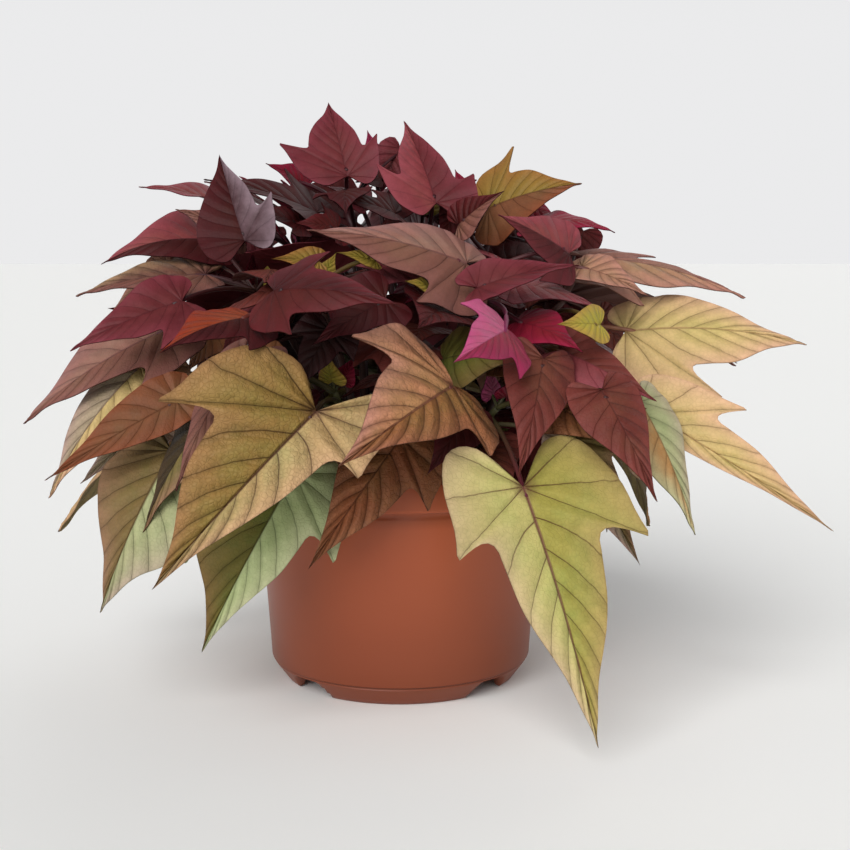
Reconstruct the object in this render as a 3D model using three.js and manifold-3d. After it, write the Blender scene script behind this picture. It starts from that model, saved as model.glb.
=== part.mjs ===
// Sweet potato vine growing in a six inch plastic azalea pot. Millimetres, +Z up,
// the plant's front towards -Y, resting on the four feet of the pot at z = 0.
import * as THREE from 'three';
import { mergeVertices } from 'three/addons/utils/BufferGeometryUtils.js';
import Module from 'manifold-3d';

const wasm = await Module();
wasm.setup();

// ---- driving dimensions ----
// pot: a thin moulded wall with a collar at the rim and a ring of four feet
const POT_HEIGHT = 114;
const RIM_RADIUS = 77.5;
const RIM_EDGE = 1.2;
const COLLAR_BOTTOM = 100;
const COLLAR_SLOPE = 3;
const COLLAR_WALL = 2.2;
const BODY_TOP_RADIUS = 75.3;
const FOOT_LINE = 9.7;
const FOOT_LINE_RADIUS = 69.1;
const FOOT_RADIUS = 62;
const FOOT_WIDTH = 2.5;
const FOOT_COUNT = 4;
const WALL = 1.5;
const BASE_UNDERSIDE = 9.5;
const BASE_THICKNESS = 2.2;
const NOTCH_BOTTOM_WIDTH = 26;
const NOTCH_TOP_WIDTH = 15;
const NOTCH_REACH = [45, 75];
const DRAIN_HOLES = 5;
const DRAIN_HOLE_RADIUS = 4.5;
const DRAIN_CIRCLE_RADIUS = 44;
const POT_SEGMENTS = 32;

// potting mix, filled to a little below the rim, with a hole for each stem
const SOIL_TOP = 101;
const SOIL_EDGE_TOP = 99.5;
const SOIL_SEGMENTS = 20;
const FIT_GAP = 0.4;
const STEM_HOLE_DEPTH = 25;
const STEM_HOLE_RADIUS = 3.3;

// leafy stems
const STEM_RADIUS = 2.2;
const STALK_RADIUS = 1.15;
const STALK_SINK = 4;
const STALK_UNDER = 0.8;
const STALK_PUSH = 1.1;
const STALK_ARCH = 0.15;
const BLADE_THICKNESS = 0.9;
const WAVE_HEIGHT = 0.2;
const WAVE_COUNT = 9;
const PHASE_STEP = 2.4;
const MOST_LEAVES = 9;
const LEAF_GAP = 0.45;

// the middle of the bush, which its leaves face away from, and the far point
// that the front leaves look at and slide towards
const BUSH_CENTRE = new THREE.Vector3(0, 0, 110);
const FAR_POINT = new THREE.Vector3(13, -700, 221);
const FAR = 700;
const UPWARD = new THREE.Vector3(0, 0, 1);

// ---- solids ----
function solid(geometry) {
  geometry.deleteAttribute('normal');
  geometry.deleteAttribute('uv');
  const merged = mergeVertices(geometry, 1e-4);
  return new wasm.Manifold(new wasm.Mesh({
    numProp: 3,
    vertProperties: Float32Array.from(merged.attributes.position.array),
    triVerts: Uint32Array.from(merged.index.array),
  }));
}

function toMesh(name, body, colour, roughness) {
  const mesh = body.getMesh();
  const geometry = new THREE.BufferGeometry();
  geometry.setAttribute('position', new THREE.Float32BufferAttribute(mesh.vertProperties, 3));
  geometry.setIndex(Array.from(mesh.triVerts));
  const material = new THREE.MeshStandardMaterial({ color: colour, roughness, metalness: 0 });
  const result = new THREE.Mesh(geometry, material);
  result.name = name;
  return result;
}

function lathe(profile, segments) {
  const points = profile.map(([r, z]) => new THREE.Vector2(r, z));
  return solid(new THREE.LatheGeometry(points, segments).rotateX(Math.PI / 2));
}

function turns(count) {
  return Array.from({ length: count }, (_, i) => (2 * Math.PI * i) / count);
}

function outline(points) {
  return new THREE.Shape(points.map(([x, y]) => new THREE.Vector2(x, y)));
}

function tube(curve, radius, sides, steps) {
  const section = outline(turns(sides).map((turn) => [radius * Math.cos(turn), radius * Math.sin(turn)]));
  return solid(new THREE.ExtrudeGeometry(section, { steps, extrudePath: curve }));
}

// ---- pot ----
function potBody() {
  const collarInner = RIM_RADIUS - COLLAR_WALL;
  const floorTop = BASE_UNDERSIDE + BASE_THICKNESS;
  let pot = lathe([
    [0, BASE_UNDERSIDE],
    [FOOT_RADIUS - FOOT_WIDTH - 1, BASE_UNDERSIDE],
    [FOOT_RADIUS - FOOT_WIDTH, 0],
    [FOOT_RADIUS, 0],
    [FOOT_LINE_RADIUS, FOOT_LINE],
    [BODY_TOP_RADIUS, COLLAR_BOTTOM - COLLAR_SLOPE],
    [RIM_RADIUS - RIM_EDGE / 2, COLLAR_BOTTOM],
    [RIM_RADIUS, COLLAR_BOTTOM + RIM_EDGE],
    [RIM_RADIUS, POT_HEIGHT - RIM_EDGE],
    [RIM_RADIUS - RIM_EDGE, POT_HEIGHT],
    [collarInner, POT_HEIGHT],
    [collarInner, COLLAR_BOTTOM + RIM_EDGE],
    [BODY_TOP_RADIUS - WALL, COLLAR_BOTTOM - COLLAR_SLOPE],
    [FOOT_LINE_RADIUS - WALL, floorTop],
    [0, floorTop],
  ], POT_SEGMENTS);
  for (const turn of turns(FOOT_COUNT)) pot = pot.subtract(footNotch(turn + Math.PI / FOOT_COUNT));
  for (const turn of turns(DRAIN_HOLES)) pot = pot.subtract(drainHole(turn));
  return pot;
}

// A gap between two feet, wider at the bottom and closed by the base above.
function footNotch(turn) {
  const [near, far] = NOTCH_REACH;
  const top = BASE_UNDERSIDE - FIT_GAP;
  const section = outline([
    [-NOTCH_BOTTOM_WIDTH / 2, -1],
    [NOTCH_BOTTOM_WIDTH / 2, -1],
    [NOTCH_TOP_WIDTH / 2, top],
    [-NOTCH_TOP_WIDTH / 2, top],
  ]);
  const cut = new THREE.ExtrudeGeometry(section, { depth: far - near, bevelEnabled: false });
  return solid(cut.rotateX(Math.PI / 2).translate(0, -near, 0).rotateZ(turn));
}

function drainHole(turn) {
  const hole = new THREE.CylinderGeometry(DRAIN_HOLE_RADIUS, DRAIN_HOLE_RADIUS, 4 * BASE_THICKNESS, 8);
  hole.rotateX(Math.PI / 2).translate(DRAIN_CIRCLE_RADIUS, 0, BASE_UNDERSIDE).rotateZ(turn);
  return solid(hole);
}

// ---- potting mix ----
function soilBody(feet) {
  const bottomRadius = FOOT_LINE_RADIUS - WALL - FIT_GAP;
  const topRadius = BODY_TOP_RADIUS - WALL - FIT_GAP;
  const rise = POT_HEIGHT - SOIL_TOP;
  let soil = lathe([
    [0, BASE_UNDERSIDE + BASE_THICKNESS + FIT_GAP],
    [bottomRadius, BASE_UNDERSIDE + BASE_THICKNESS + FIT_GAP],
    [topRadius, COLLAR_BOTTOM - COLLAR_SLOPE],
    [topRadius - FOOT_WIDTH, SOIL_EDGE_TOP],
    [topRadius / 2, SOIL_TOP],
    [0, SOIL_TOP],
  ], SOIL_SEGMENTS);
  for (const [x, y] of feet) {
    const hole = new THREE.CylinderGeometry(
      STEM_HOLE_RADIUS, STEM_HOLE_RADIUS, STEM_HOLE_DEPTH + rise, 6);
    hole.rotateX(Math.PI / 2).translate(x, y, SOIL_TOP + (rise - STEM_HOLE_DEPTH) / 2);
    soil = soil.subtract(solid(hole));
  }
  return soil;
}

// ---- leaf blades ----
// Each half blade is a fan of ribs, from a place on the midrib to a point of the
// edge: [place on the midrib, along, across], in leaf lengths. A lobed half has a
// shoulder lobe and a notch below it; a plain one is half a heart, and the small
// leaves in the shade have a heart of fewer points.
const LOBED = [
  [0, -0.17, 0.16], [0, -0.14, 0.33], [0, 0.07, 0.41], [0.1, 0.29, 0.46],
  [0.1, 0.21, 0.25], [0.26, 0.45, 0.21], [0.56, 0.74, 0.08],
];
const PLAIN = [
  [0, -0.16, 0.16], [0, -0.1, 0.32], [0.1, 0.13, 0.37], [0.26, 0.42, 0.26],
  [0.56, 0.74, 0.08],
];
const SMALL = [[0, -0.15, 0.2], [0, -0.02, 0.36], [0.12, 0.23, 0.34], [0.48, 0.65, 0.13]];
const SMALL_FORM = 'SS';
const HALVES = { L: LOBED, P: PLAIN, S: SMALL };

// A leaf's own axes: along its midrib, out of its upper side, and across.
function leafAxes(leaf, [slide, swing, rise]) {
  const turn = THREE.MathUtils.degToRad(swing);
  const [base, tip] = [leaf.base, leaf.tip].map((point) => (
    point.clone().lerp(leaf.far, slide / FAR).applyAxisAngle(UPWARD, turn).addScaledVector(UPWARD, rise)));
  const along = tip.clone().sub(base);
  const length = along.length();
  along.normalize();
  const outward = base.clone().lerp(tip, 0.4).sub(BUSH_CENTRE).normalize();
  const face = leaf.far.clone().sub(base).normalize().add(outward);
  face.addScaledVector(along, -face.dot(along)).normalize();
  const side = face.clone().cross(along);
  const roll = THREE.MathUtils.degToRad(leaf.roll);
  const up = face.clone().multiplyScalar(Math.cos(roll)).addScaledVector(side, -Math.sin(roll));
  const across = side.clone().multiplyScalar(Math.cos(roll)).addScaledVector(face, Math.sin(roll));
  return { base, along, up, across, length };
}

// A point of the blade: arched along the midrib, folded at it, waved at the edge.
function bladePoint(leaf, axes, a, b, lift) {
  const [width, sweep] = b < 0 ? leaf.left : leaf.right;
  const out = Math.abs(b) * width;
  const along = a + sweep * out;
  const height = leaf.curl * 4 * along * (1 - along) + leaf.fold * out
    + WAVE_HEIGHT * out * out * Math.sin(WAVE_COUNT * along + leaf.phase);
  return axes.base.clone()
    .addScaledVector(axes.along, along * axes.length)
    .addScaledVector(axes.across, Math.sign(b) * out * axes.length)
    .addScaledVector(axes.up, height * axes.length + lift);
}

function bladeBody(leaf, axes) {
  const flat = [[0, 0], [1, 0]];
  const faces = [];
  const midrib = new Map([[0, 0], [1, 1]]);
  const rim = [0];
  for (const side of [-1, 1]) {
    const ribs = HALVES[leaf.form[side > 0 ? 1 : 0]].map(([m, a, b]) => {
      if (!midrib.has(m)) midrib.set(m, flat.push([m, 0]) - 1);
      return [midrib.get(m), flat.push([a, side * b]) - 1];
    });
    ribs.push([1, 1]);
    for (let k = 0; k + 1 < ribs.length; k += 1) {
      const [m0, e0] = ribs[k];
      const [m1, e1] = ribs[k + 1];
      faces.push(side > 0 ? [m0, e1, e0] : [m0, e0, e1]);
      if (m0 !== m1 && m1 !== e1) faces.push(side > 0 ? [m0, m1, e1] : [m0, e1, m1]);
    }
    const edge = ribs.map(([, e]) => e);
    rim.push(...(side < 0 ? edge : edge.slice(0, -1).reverse()));
  }
  const half = BLADE_THICKNESS / 2;
  const upper = flat.map(([a, b]) => bladePoint(leaf, axes, a, b, half));
  const lower = flat.map(([a, b]) => bladePoint(leaf, axes, a, b, -half));
  const under = flat.length;
  const triangles = faces.flatMap(([p, q, r]) => [p, q, r, p + under, r + under, q + under]);
  rim.forEach((p, k) => {
    const q = rim[(k + 1) % rim.length];
    triangles.push(p, p + under, q + under, p, q + under, q);
  });
  const geometry = new THREE.BufferGeometry();
  geometry.setFromPoints([...upper, ...lower]);
  geometry.setIndex(triangles);
  return solid(geometry);
}

// ---- stems and leaf stalks ----
function stemCurve(vine) {
  const [x, y] = vine.foot;
  const ground = new THREE.Vector3(x, y, SOIL_TOP);
  const top = new THREE.Vector3(...vine.top);
  const bend = new THREE.Vector3(x, y, SOIL_TOP + 0.5 * (top.z - SOIL_TOP));
  const curve = new THREE.CurvePath();
  curve.add(new THREE.LineCurve3(new THREE.Vector3(x, y, SOIL_TOP - STEM_HOLE_DEPTH + FIT_GAP), ground));
  curve.add(new THREE.QuadraticBezierCurve3(ground, bend, top));
  return curve;
}

// The stalk leaves the stem, arches over and runs a little way into its blade.
function stalkCurve(vine, leaf, axes, [at, lift, aside]) {
  const start = vine.curve.curves[1].getPoint(Math.min(1, leaf.at + at));
  const end = bladePoint(leaf, axes, STALK_SINK / axes.length, 0, -STALK_UNDER);
  const reach = end.clone().sub(start);
  const sideways = new THREE.Vector3(-reach.y, reach.x, 0).normalize();
  const bend = start.clone().lerp(end, 0.5);
  bend.z += STALK_ARCH * reach.length() + lift;
  bend.addScaledVector(sideways, aside);
  end.add(end.clone().sub(bend).setLength(STALK_PUSH));
  return new THREE.QuadraticBezierCurve3(start, bend, end);
}

// ---- the leaves that grow towards the front, placed one by one ----
// Each leaf: where its stalk meets it, its tip, [roll, fold, curl], the width and
// sweep of its left and of its right half, their forms, and its place on the stem.
const VINES = {
  vine_low_1: { foot: [30, -38], top: [48, -68, 150], leaves: [
    [[57, -118, 120], [88, -150, 11], [-8, 0.1, 0.05], [0.78, -0.2], [0.88, 0.05], 'LL', 0.9],
    [[70, -90, 156], [99, -110, 136], [0, -0.2, 0.08], [1, 0], [1, 0], 'PP', 1],
    [[84, -85, 137], [113, -100, 80], [30, 0.2, 0.05], [0.7, 0], [0.7, 0], 'PL', 0.8],
  ] },
  vine_low_2: { foot: [-22, -44], top: [-30, -70, 158], leaves: [
    [[-35, -118, 154], [-103, -150, 81], [0, 0.1, 0.05], [1.15, 0.25], [0.75, -0.5], 'LL', 0.9],
    [[2, -92, 139], [-40, -112, 81], [0, -0.25, 0.08], [0.75, 0], [0.9, 0], 'PL', 0.7],
    [[-70, -88, 176], [-98, -118, 118], [20, -0.2, 0.06], [0.8, 0], [0.8, 0], 'LP', 1],
  ] },
  vine_low_3: { foot: [2, -30], top: [14, -62, 170], leaves: [
    [[26, -105, 164], [-23, -165, 136], [0, -0.15, 0.12], [1.2, 0.1], [0.95, -0.4], 'LL', 1],
    [[67, -100, 176], [54, -128, 126], [0, -0.2, 0.06], [0.8, 0], [0.8, 0], 'PP', 0.8],
    [[34, -80, 150], [14, -98, 122], [0, -0.1, 0.06], [1, 0], [1, 0], 'PP', 0.6],
  ] },
  vine_low_4: { foot: [-44, -26], top: [-68, -48, 148], leaves: [
    [[-47, -92, 122], [-88, -118, 44], [0, -0.12, 0.06], [1.05, 0.5], [0.85, 0.1], 'PL', 0.6],
    [[-109, -68, 129], [-139, -95, 56], [0, -0.15, 0.06], [1, 0.3], [1.25, 0.45], 'PP', 0.8],
    [[-88, -70, 150], [-120, -85, 92], [25, -0.15, 0.06], [0.8, 0], [0.8, 0], 'PP', 0.9],
  ] },
  vine_low_5: { foot: [-52, 0], top: [-86, -24, 156], leaves: [
    [[-129, -40, 168], [-170, -65, 105], [0, -0.15, 0.08], [0.85, 0], [0.85, 0], 'LL', 1],
    [[-98, 6, 146], [-146, -4, 82], [55, -0.1, 0.06], [0.9, 0], [0.9, 0], 'LP', 0.8],
    [[-108, -58, 152], [-168, -78, 116], [0, 0.1, 0.04], [0.6, 0], [0.5, 0], 'PP', 0.9],
    [[-126, -25, 138], [-161, -40, 108], [0, 0.1, 0.04], [0.9, 0], [0.9, 0], 'PP', 0.7],
  ] },
  vine_low_6: { foot: [52, -14], top: [86, -40, 150], leaves: [
    [[120, -75, 148], [202, -100, 96], [10, 0.15, 0.05], [0.2, 0], [0.55, 0.35], 'PL', 1],
    [[100, -12, 160], [148, -24, 104], [-40, -0.1, 0.06], [0.9, 0], [0.9, 0], 'PL', 0.8],
    [[118, -60, 152], [141, -85, 91], [-15, 0.1, 0.05], [1.1, 0.1], [0.6, 0], 'PP', 0.9],
    [[96, -84, 160], [118, -112, 112], [0, -0.2, 0.05], [0.8, 0], [0.8, 0], 'PP', 0.8],
  ] },
  vine_mid_1: { foot: [-34, 8], top: [-74, -14, 204], leaves: [
    [[-116, -40, 186], [-185, -52, 140], [20, -0.15, 0.06], [1.3, 0.1], [0.75, 0], 'PL', 0.9],
    [[-104, -60, 201], [-154, -78, 178], [10, 0.1, 0.05], [0.85, 0], [1.05, 0.2], 'PL', 1],
    [[-99, -20, 213], [-163, -30, 202], [28, 0.1, 0.06], [1, 0], [1, 0.2], 'LL', 1],
    [[-98, 12, 231], [-157, 0, 218], [5, -0.1, 0.12], [1.1, 0.2], [0.8, 0], 'PP', 1],
    [[-123, -12, 191], [-149, -22, 196], [0, 0.1, 0.05], [0.8, 0], [0.8, 0], 'PP', 0.8],
  ] },
  vine_mid_2: { foot: [-20, -20], top: [-40, -58, 206], leaves: [
    [[-66, -100, 195], [-101, -130, 181], [20, -0.3, 0.08], [1.1, 0.3], [0.8, 0], 'PL', 0.9],
    [[-55, -100, 207], [2, -122, 201], [-20, -0.3, 0.08], [0.8, 0], [1, 0], 'LL', 1],
    [[-5, -88, 202], [-38, -102, 182], [0, 0.1, 0.06], [1, 0], [1, 0], 'LL', 0.9],
    [[-37, -70, 220], [-59, -75, 221], [0, 0.2, 0.05], [0.8, 0], [0.8, 0], 'PP', 1],
    [[-10, -70, 220], [-28, -75, 224], [0, 0.2, 0.05], [0.7, 0], [0.7, 0], 'PP', 1],
    [[-31, -84, 188], [-46, -98, 160], [0, 0, 0.06], [1.1, 0], [1.1, 0], 'LL', 0.7],
  ] },
  vine_mid_3: { foot: [22, -16], top: [36, -52, 210], leaves: [
    [[33, -65, 219], [-42, -80, 234], [20, -0.2, 0.06], [0.85, 0], [0.95, 0.1], 'PL', 1],
    [[50, -112, 190], [25, -150, 178], [0, -0.2, 0.08], [1, 0], [1, 0], 'LL', 0.9],
    [[56, -82, 192], [83, -116, 180], [0, -0.2, 0.08], [0.9, 0], [1, 0], 'PP', 0.9],
    [[37, -90, 208], [85, -80, 218], [-30, 0.2, 0.05], [0.7, 0], [0.7, 0], 'PP', 1],
    [[84, -46, 224], [48, -60, 242], [0, -0.1, 0.05], [1.1, 0], [1.1, 0], 'PL', 1],
    [[20, -75, 206], [4, -92, 211], [0, 0.1, 0.05], [0.9, 0], [0.9, 0], 'PP', 1],
  ] },
  vine_mid_4: { foot: [40, 2], top: [84, -22, 200], leaves: [
    [[95, -15, 222], [176, -25, 201], [-28, -0.1, 0.06], [0.95, 0.3], [0.4, 0.8], 'LL', 1],
    [[114, -35, 185], [201, -50, 179], [-15, -0.12, 0.08], [1, 0.6], [0.75, 0.3], 'LP', 0.8],
    [[91, -40, 217], [120, -66, 203], [0, 0.1, 0.05], [0.8, 0], [0.8, 0], 'PP', 1],
    [[76, -85, 179], [118, -106, 157], [0, -0.15, 0.05], [0.8, 0], [0.9, 0], 'PL', 0.8],
    [[94, -90, 191], [72, -108, 192], [0, 0.1, 0.05], [0.9, 0], [0.9, 0], 'PP', 0.9],
    [[137, -5, 184], [176, -12, 167], [0, 0, 0.05], [0.7, 0], [0.7, 0], 'PP', 0.7],
  ] },
  vine_top_1: { foot: [-22, -2], top: [-56, -6, 226], leaves: [
    [[-75, -45, 230], [-92, -12, 274], [0, 0.3, 0.05], [0.8, 0], [1, 0], 'LP', 1],
    [[-91, 0, 249], [-132, -20, 257], [30, 0.15, 0.05], [1, 0], [1.45, 0], 'PL', 1],
    [[-79, -25, 232], [-114, -18, 246], [20, 0.15, 0.05], [1, 0], [1, 0], 'LP', 0.9],
    [[-49, -30, 238], [-74, -40, 244], [20, 0.1, 0.06], [1.1, 0], [1.1, 0], 'PL', 0.9],
  ] },
  vine_top_2: { foot: [0, 0], top: [-28, 2, 246], leaves: [
    [[-26, -15, 263], [-38, 15, 303], [0, 0.15, 0.05], [0.85, 0.2], [1.3, 0.45], 'LL', 1],
    [[-51, 20, 260], [-71, 10, 271], [0, 0.2, 0.05], [1.2, 0], [1.2, 0], 'PP', 1],
    [[-30, -40, 236], [-50, -54, 238], [0, 0.1, 0.05], [1.2, 0], [1.2, 0], 'LL', 0.9],
    [[-27, -20, 256], [-25, -54, 242], [0, -0.1, 0.08], [1, 0], [1, 0], 'LP', 0.9],
  ] },
  vine_top_3: { foot: [14, 12], top: [16, -6, 240], leaves: [
    [[19, -25, 249], [2, 10, 293], [0, 0.25, 0.05], [0.85, -0.3], [0.95, 0.3], 'LL', 1],
    [[37, 0, 246], [29, 12, 268], [0, 0.1, 0.05], [1.2, 0], [1.2, 0], 'PP', 1],
    [[-2, -24, 244], [-34, -38, 250], [20, 0.1, 0.06], [1, 0], [1, 0], 'LP', 0.9],
  ] },
  vine_top_4: { foot: [30, -4], top: [48, -2, 238], leaves: [
    [[46, -5, 247], [93, -18, 259], [0, 0.1, 0.06], [1.4, 0], [1.3, 0.15], 'PL', 1],
    [[70, -20, 240], [108, -34, 234], [-25, -0.1, 0.08], [1, 0], [1, 0], 'LP', 1],
    [[30, -30, 238], [52, -44, 254], [0, 0.1, 0.05], [1, 0], [1, 0], 'PP', 0.9],
  ] },
  vine_top_8: { foot: [-10, 24], top: [-14, 24, 222], leaves: [
    [[-62, 36, 246], [-46, 30, 214], [0, 0.1, 0.06], [1.3, 0], [1.3, 0], 'SS', 1],
    [[-30, 24, 252], [-64, 26, 256], [0, 0.1, 0.06], [1.3, 0], [1.3, 0], 'SS', 1],
    [[-62, 22, 186], [-56, 16, 144], [0, -0.1, 0.06], [1.1, 0], [1.1, 0], 'SS', 0.6],
  ] },
  vine_low_11: { foot: [28, 26], top: [34, 28, 170], leaves: [
    [[24, 14, 190], [32, 22, 146], [0, 0, 0.06], [1.1, 0], [1.1, 0], 'SS', 1],
    [[48, 20, 178], [46, 28, 134], [0, 0, 0.06], [1.1, 0], [1.1, 0], 'SS', 0.9],
    [[84, 6, 140], [94, 8, 94], [0, 0, 0.06], [0.9, 0], [0.9, 0], 'SS', 0.8],
    [[84, 22, 150], [100, 34, 100], [0, 0, 0.06], [1, 0], [1, 0], 'SS', 0.7],
  ] },
};

// ---- the leaves round the sides and the back, placed by a rule ----
// For each height: radius and height of where the stalk meets the blade and of
// the tip, and the share of lobed halves.
const RINGS = {
  low: { base: [108, 138], tip: [170, 54], rows: 2, lobed: 0.45, foot: 46, top: [76, 152] },
  mid: { base: [98, 194], tip: [184, 152], rows: 2, lobed: 0.6, foot: 30, top: [62, 200] },
  high: { base: [66, 236], tip: [132, 252], rows: 2, lobed: 0.7, foot: 27, top: [40, 232] },
  crown: { base: [22, 240], tip: [74, 252], rows: 2, lobed: 0.7, foot: 12, top: [4, 232] },
  inner: { base: [62, 186], tip: [100, 158], rows: 2, lobed: 0.5, foot: 8, top: [14, 180] },
  shade: { base: [44, 216], tip: [90, 222], rows: 3, lobed: 0, foot: 20, top: [22, 206] },
};
const BACK_VINES = {
  vine_low_7: { ring: 'low', azimuth: 32, sector: 46, leaves: 4 },
  vine_low_8: { ring: 'low', azimuth: 78, sector: 46, leaves: 4 },
  vine_low_9: { ring: 'low', azimuth: 122, sector: 46, leaves: 4 },
  vine_low_10: { ring: 'low', azimuth: 154, sector: 36, leaves: 4 },
  vine_mid_5: { ring: 'mid', azimuth: 30, sector: 52, leaves: 4 },
  vine_mid_6: { ring: 'mid', azimuth: 87, sector: 56, leaves: 4 },
  vine_mid_7: { ring: 'mid', azimuth: 146, sector: 52, leaves: 4 },
  vine_top_5: { ring: 'high', azimuth: 50, sector: 80, leaves: 4 },
  vine_top_6: { ring: 'high', azimuth: 132, sector: 80, leaves: 4 },
  vine_top_7: { ring: 'crown', azimuth: 75, sector: 330, leaves: 5 },
  vine_mid_8: { ring: 'inner', azimuth: -95, sector: 160, leaves: 4 },
  vine_mid_9: { ring: 'shade', azimuth: 70, sector: 180, leaves: 6 },
  vine_mid_10: { ring: 'shade', azimuth: 165, sector: 110, leaves: 4 },
};
const DRAW_SEED = 7;

let drawState = DRAW_SEED;
function draw(low, high) {
  drawState = (drawState * 1664525 + 1013904223) % 4294967296;
  return low + ((high - low) * drawState) / 4294967296;
}

function onCircle(degrees, radius, z) {
  const turn = THREE.MathUtils.degToRad(degrees);
  return new THREE.Vector3(radius * Math.cos(turn), radius * Math.sin(turn), z);
}

function backVine({ ring, azimuth, sector, leaves }) {
  const { base, tip, rows, lobed, foot, top } = RINGS[ring];
  const half = () => (draw(0, 1) < lobed ? 'L' : 'P');
  const footPoint = onCircle(azimuth, foot, 0);
  return {
    foot: [footPoint.x, footPoint.y],
    top: onCircle(azimuth, top[0], top[1]).toArray(),
    leaves: Array.from({ length: leaves }, (_, i) => {
      const row = i % rows;
      const turn = azimuth + sector * ((i + 0.5) / leaves - 0.5) + draw(-4, 4);
      return {
        base: onCircle(turn, base[0] - 14 * row + draw(-6, 6), base[1] + 12 * row + draw(-8, 8)),
        tip: onCircle(
          turn + draw(-14, 14), tip[0] - 26 * row + draw(-12, 12), tip[1] + 16 * row + draw(-14, 14)),
        roll: draw(-18, 18),
        fold: draw(-0.25, 0.15),
        curl: draw(0.05, 0.1),
        left: [draw(0.8, 1.05), draw(-0.1, 0.2)],
        right: [draw(0.8, 1.05), draw(-0.1, 0.2)],
        form: lobed ? half() + half() : SMALL_FORM,
        rank: lobed ? 1 : 2,
        at: 1 - 0.1 * i,
        far: onCircle(turn, FAR, FAR_POINT.z),
        places: BACK_PLACES,
      };
    }),
  };
}

// ---- growing the plant ----
const SLIDES = [0, 3, -3, 6, -6, 9, -9, 12, -12, 16, -16, 20, -20, 24, -24, 30, -30];
const BACK_SWINGS = [0, 8, -8, 16, -16];
const BACK_SLIDES = [0, 6, -6, 12, -12, 18, -18, 26, -26];
const BACK_RISES = [0, 10, -10];
const FRONT_PLACES = SLIDES.map((slide) => [slide, 0, 0]);
const BACK_PLACES = BACK_SLIDES.flatMap((slide) => (
  BACK_RISES.flatMap((rise) => BACK_SWINGS.map((swing) => [slide, swing, rise]))));
const STALK_PLACES = [0, -0.15, 0.15, -0.3];
const STALK_LIFTS = [0, 10, -10, 20];
const STALK_ASIDES = [0, 8, -8, 16, -16];
const STALK_ROUTES = STALK_PLACES.flatMap((at) => (
  STALK_LIFTS.flatMap((lift) => STALK_ASIDES.map((aside) => [at, lift, aside]))));

function apart(box, other) {
  return [0, 1, 2].some((i) => (
    box.min[i] > other.max[i] + LEAF_GAP || other.min[i] > box.max[i] + LEAF_GAP));
}

function isClear(body, placed) {
  const box = body.boundingBox();
  return placed.every((piece) => (
    apart(box, piece.box) || body.minGap(piece.body, 2 * LEAF_GAP) > LEAF_GAP));
}

// A leaf hangs where it clears the others: it slides out or in a little, and its
// stalk takes the first free route, past all but the stem and stalks it grows with.
function hangLeaf(vine, leaf, placed) {
  const others = placed.filter((piece) => piece.vine !== vine || piece.isBlade);
  for (const place of leaf.places) {
    const axes = leafAxes(leaf, place);
    const blade = bladeBody(leaf, axes);
    if (!isClear(blade, placed)) continue;
    for (const route of STALK_ROUTES) {
      const stalk = tube(stalkCurve(vine, leaf, axes, route), STALK_RADIUS, 3, 2);
      if (isClear(stalk, others)) return [blade, stalk];
    }
  }
  return [];
}

// Each vine hangs its leaves in turn: first the front ones, then those of the sides
// and the back, and last the small ones in the shade.
function grow(vines, placed) {
  for (const vine of vines) {
    vine.curve = stemCurve(vine);
    vine.parts = [tube(vine.curve, STEM_RADIUS, 5, 4)];
    placed.push({ vine, body: vine.parts[0], box: vine.parts[0].boundingBox() });
  }
  const buds = vines.flatMap((vine) => (
    vine.leaves.map((leaf, i) => ({ vine, leaf, turn: i + MOST_LEAVES * leaf.rank }))));
  for (const { vine, leaf } of buds.sort((one, other) => one.turn - other.turn)) {
    const grown = hangLeaf(vine, leaf, placed);
    vine.parts.push(...grown);
    grown.forEach((body, k) => placed.push({ vine, body, isBlade: k === 0, box: body.boundingBox() }));
  }
}

function frontLeaf([base, tip, [roll, fold, curl], left, right, form, at]) {
  return {
    base: new THREE.Vector3(...base), tip: new THREE.Vector3(...tip),
    roll, fold, curl, left, right, form, at, far: FAR_POINT, places: FRONT_PLACES,
    rank: form === SMALL_FORM ? 2 : 0,
  };
}

const vines = [
  ...Object.entries(VINES).map(([name, vine]) => ({ ...vine, name, leaves: vine.leaves.map(frontLeaf) })),
  ...Object.entries(BACK_VINES).map(([name, vine]) => ({ name, ...backVine(vine) })),
];
vines.flatMap((vine) => vine.leaves).forEach((leaf, i) => { leaf.phase = PHASE_STEP * i; });

const pot = potBody();
const soil = soilBody(vines.map((vine) => vine.foot));
grow(vines, [pot, soil].map((body) => ({ body, box: body.boundingBox() })));

const COLOURS = { low: '#a39450', mid: '#8f5c4e', top: '#6e3239' };
const group = new THREE.Group();
group.add(toMesh('pot', pot, '#a0583f', 0.5));
group.add(toMesh('soil', soil, '#2a1f18', 0.95));
for (const vine of vines) {
  const height = vine.name.split('_')[1];
  group.add(toMesh(vine.name, wasm.Manifold.union(vine.parts), COLOURS[height], 0.6));
}

// the origin is the bottom centre of the whole thing's box
const centre = new THREE.Box3().setFromObject(group).getCenter(new THREE.Vector3());
for (const mesh of group.children) mesh.geometry.translate(-centre.x, -centre.y, 0);

export default group;
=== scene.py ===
# A sweet potato vine in its six inch plastic pot, dressed for show: a moulded pot, a
# crumbly potting mix and twenty-nine leafy stems whose blades have veins, quilting and
# the colours that the plant takes on in sun and shade. Sizes are in millimetres here
# and turned to metres as each mesh is finished.
import math

import bmesh
import bpy
import numpy as np
from mathutils import Matrix, Vector, noise
from mathutils.bvhtree import BVHTree
from mathutils.kdtree import KDTree


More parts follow.
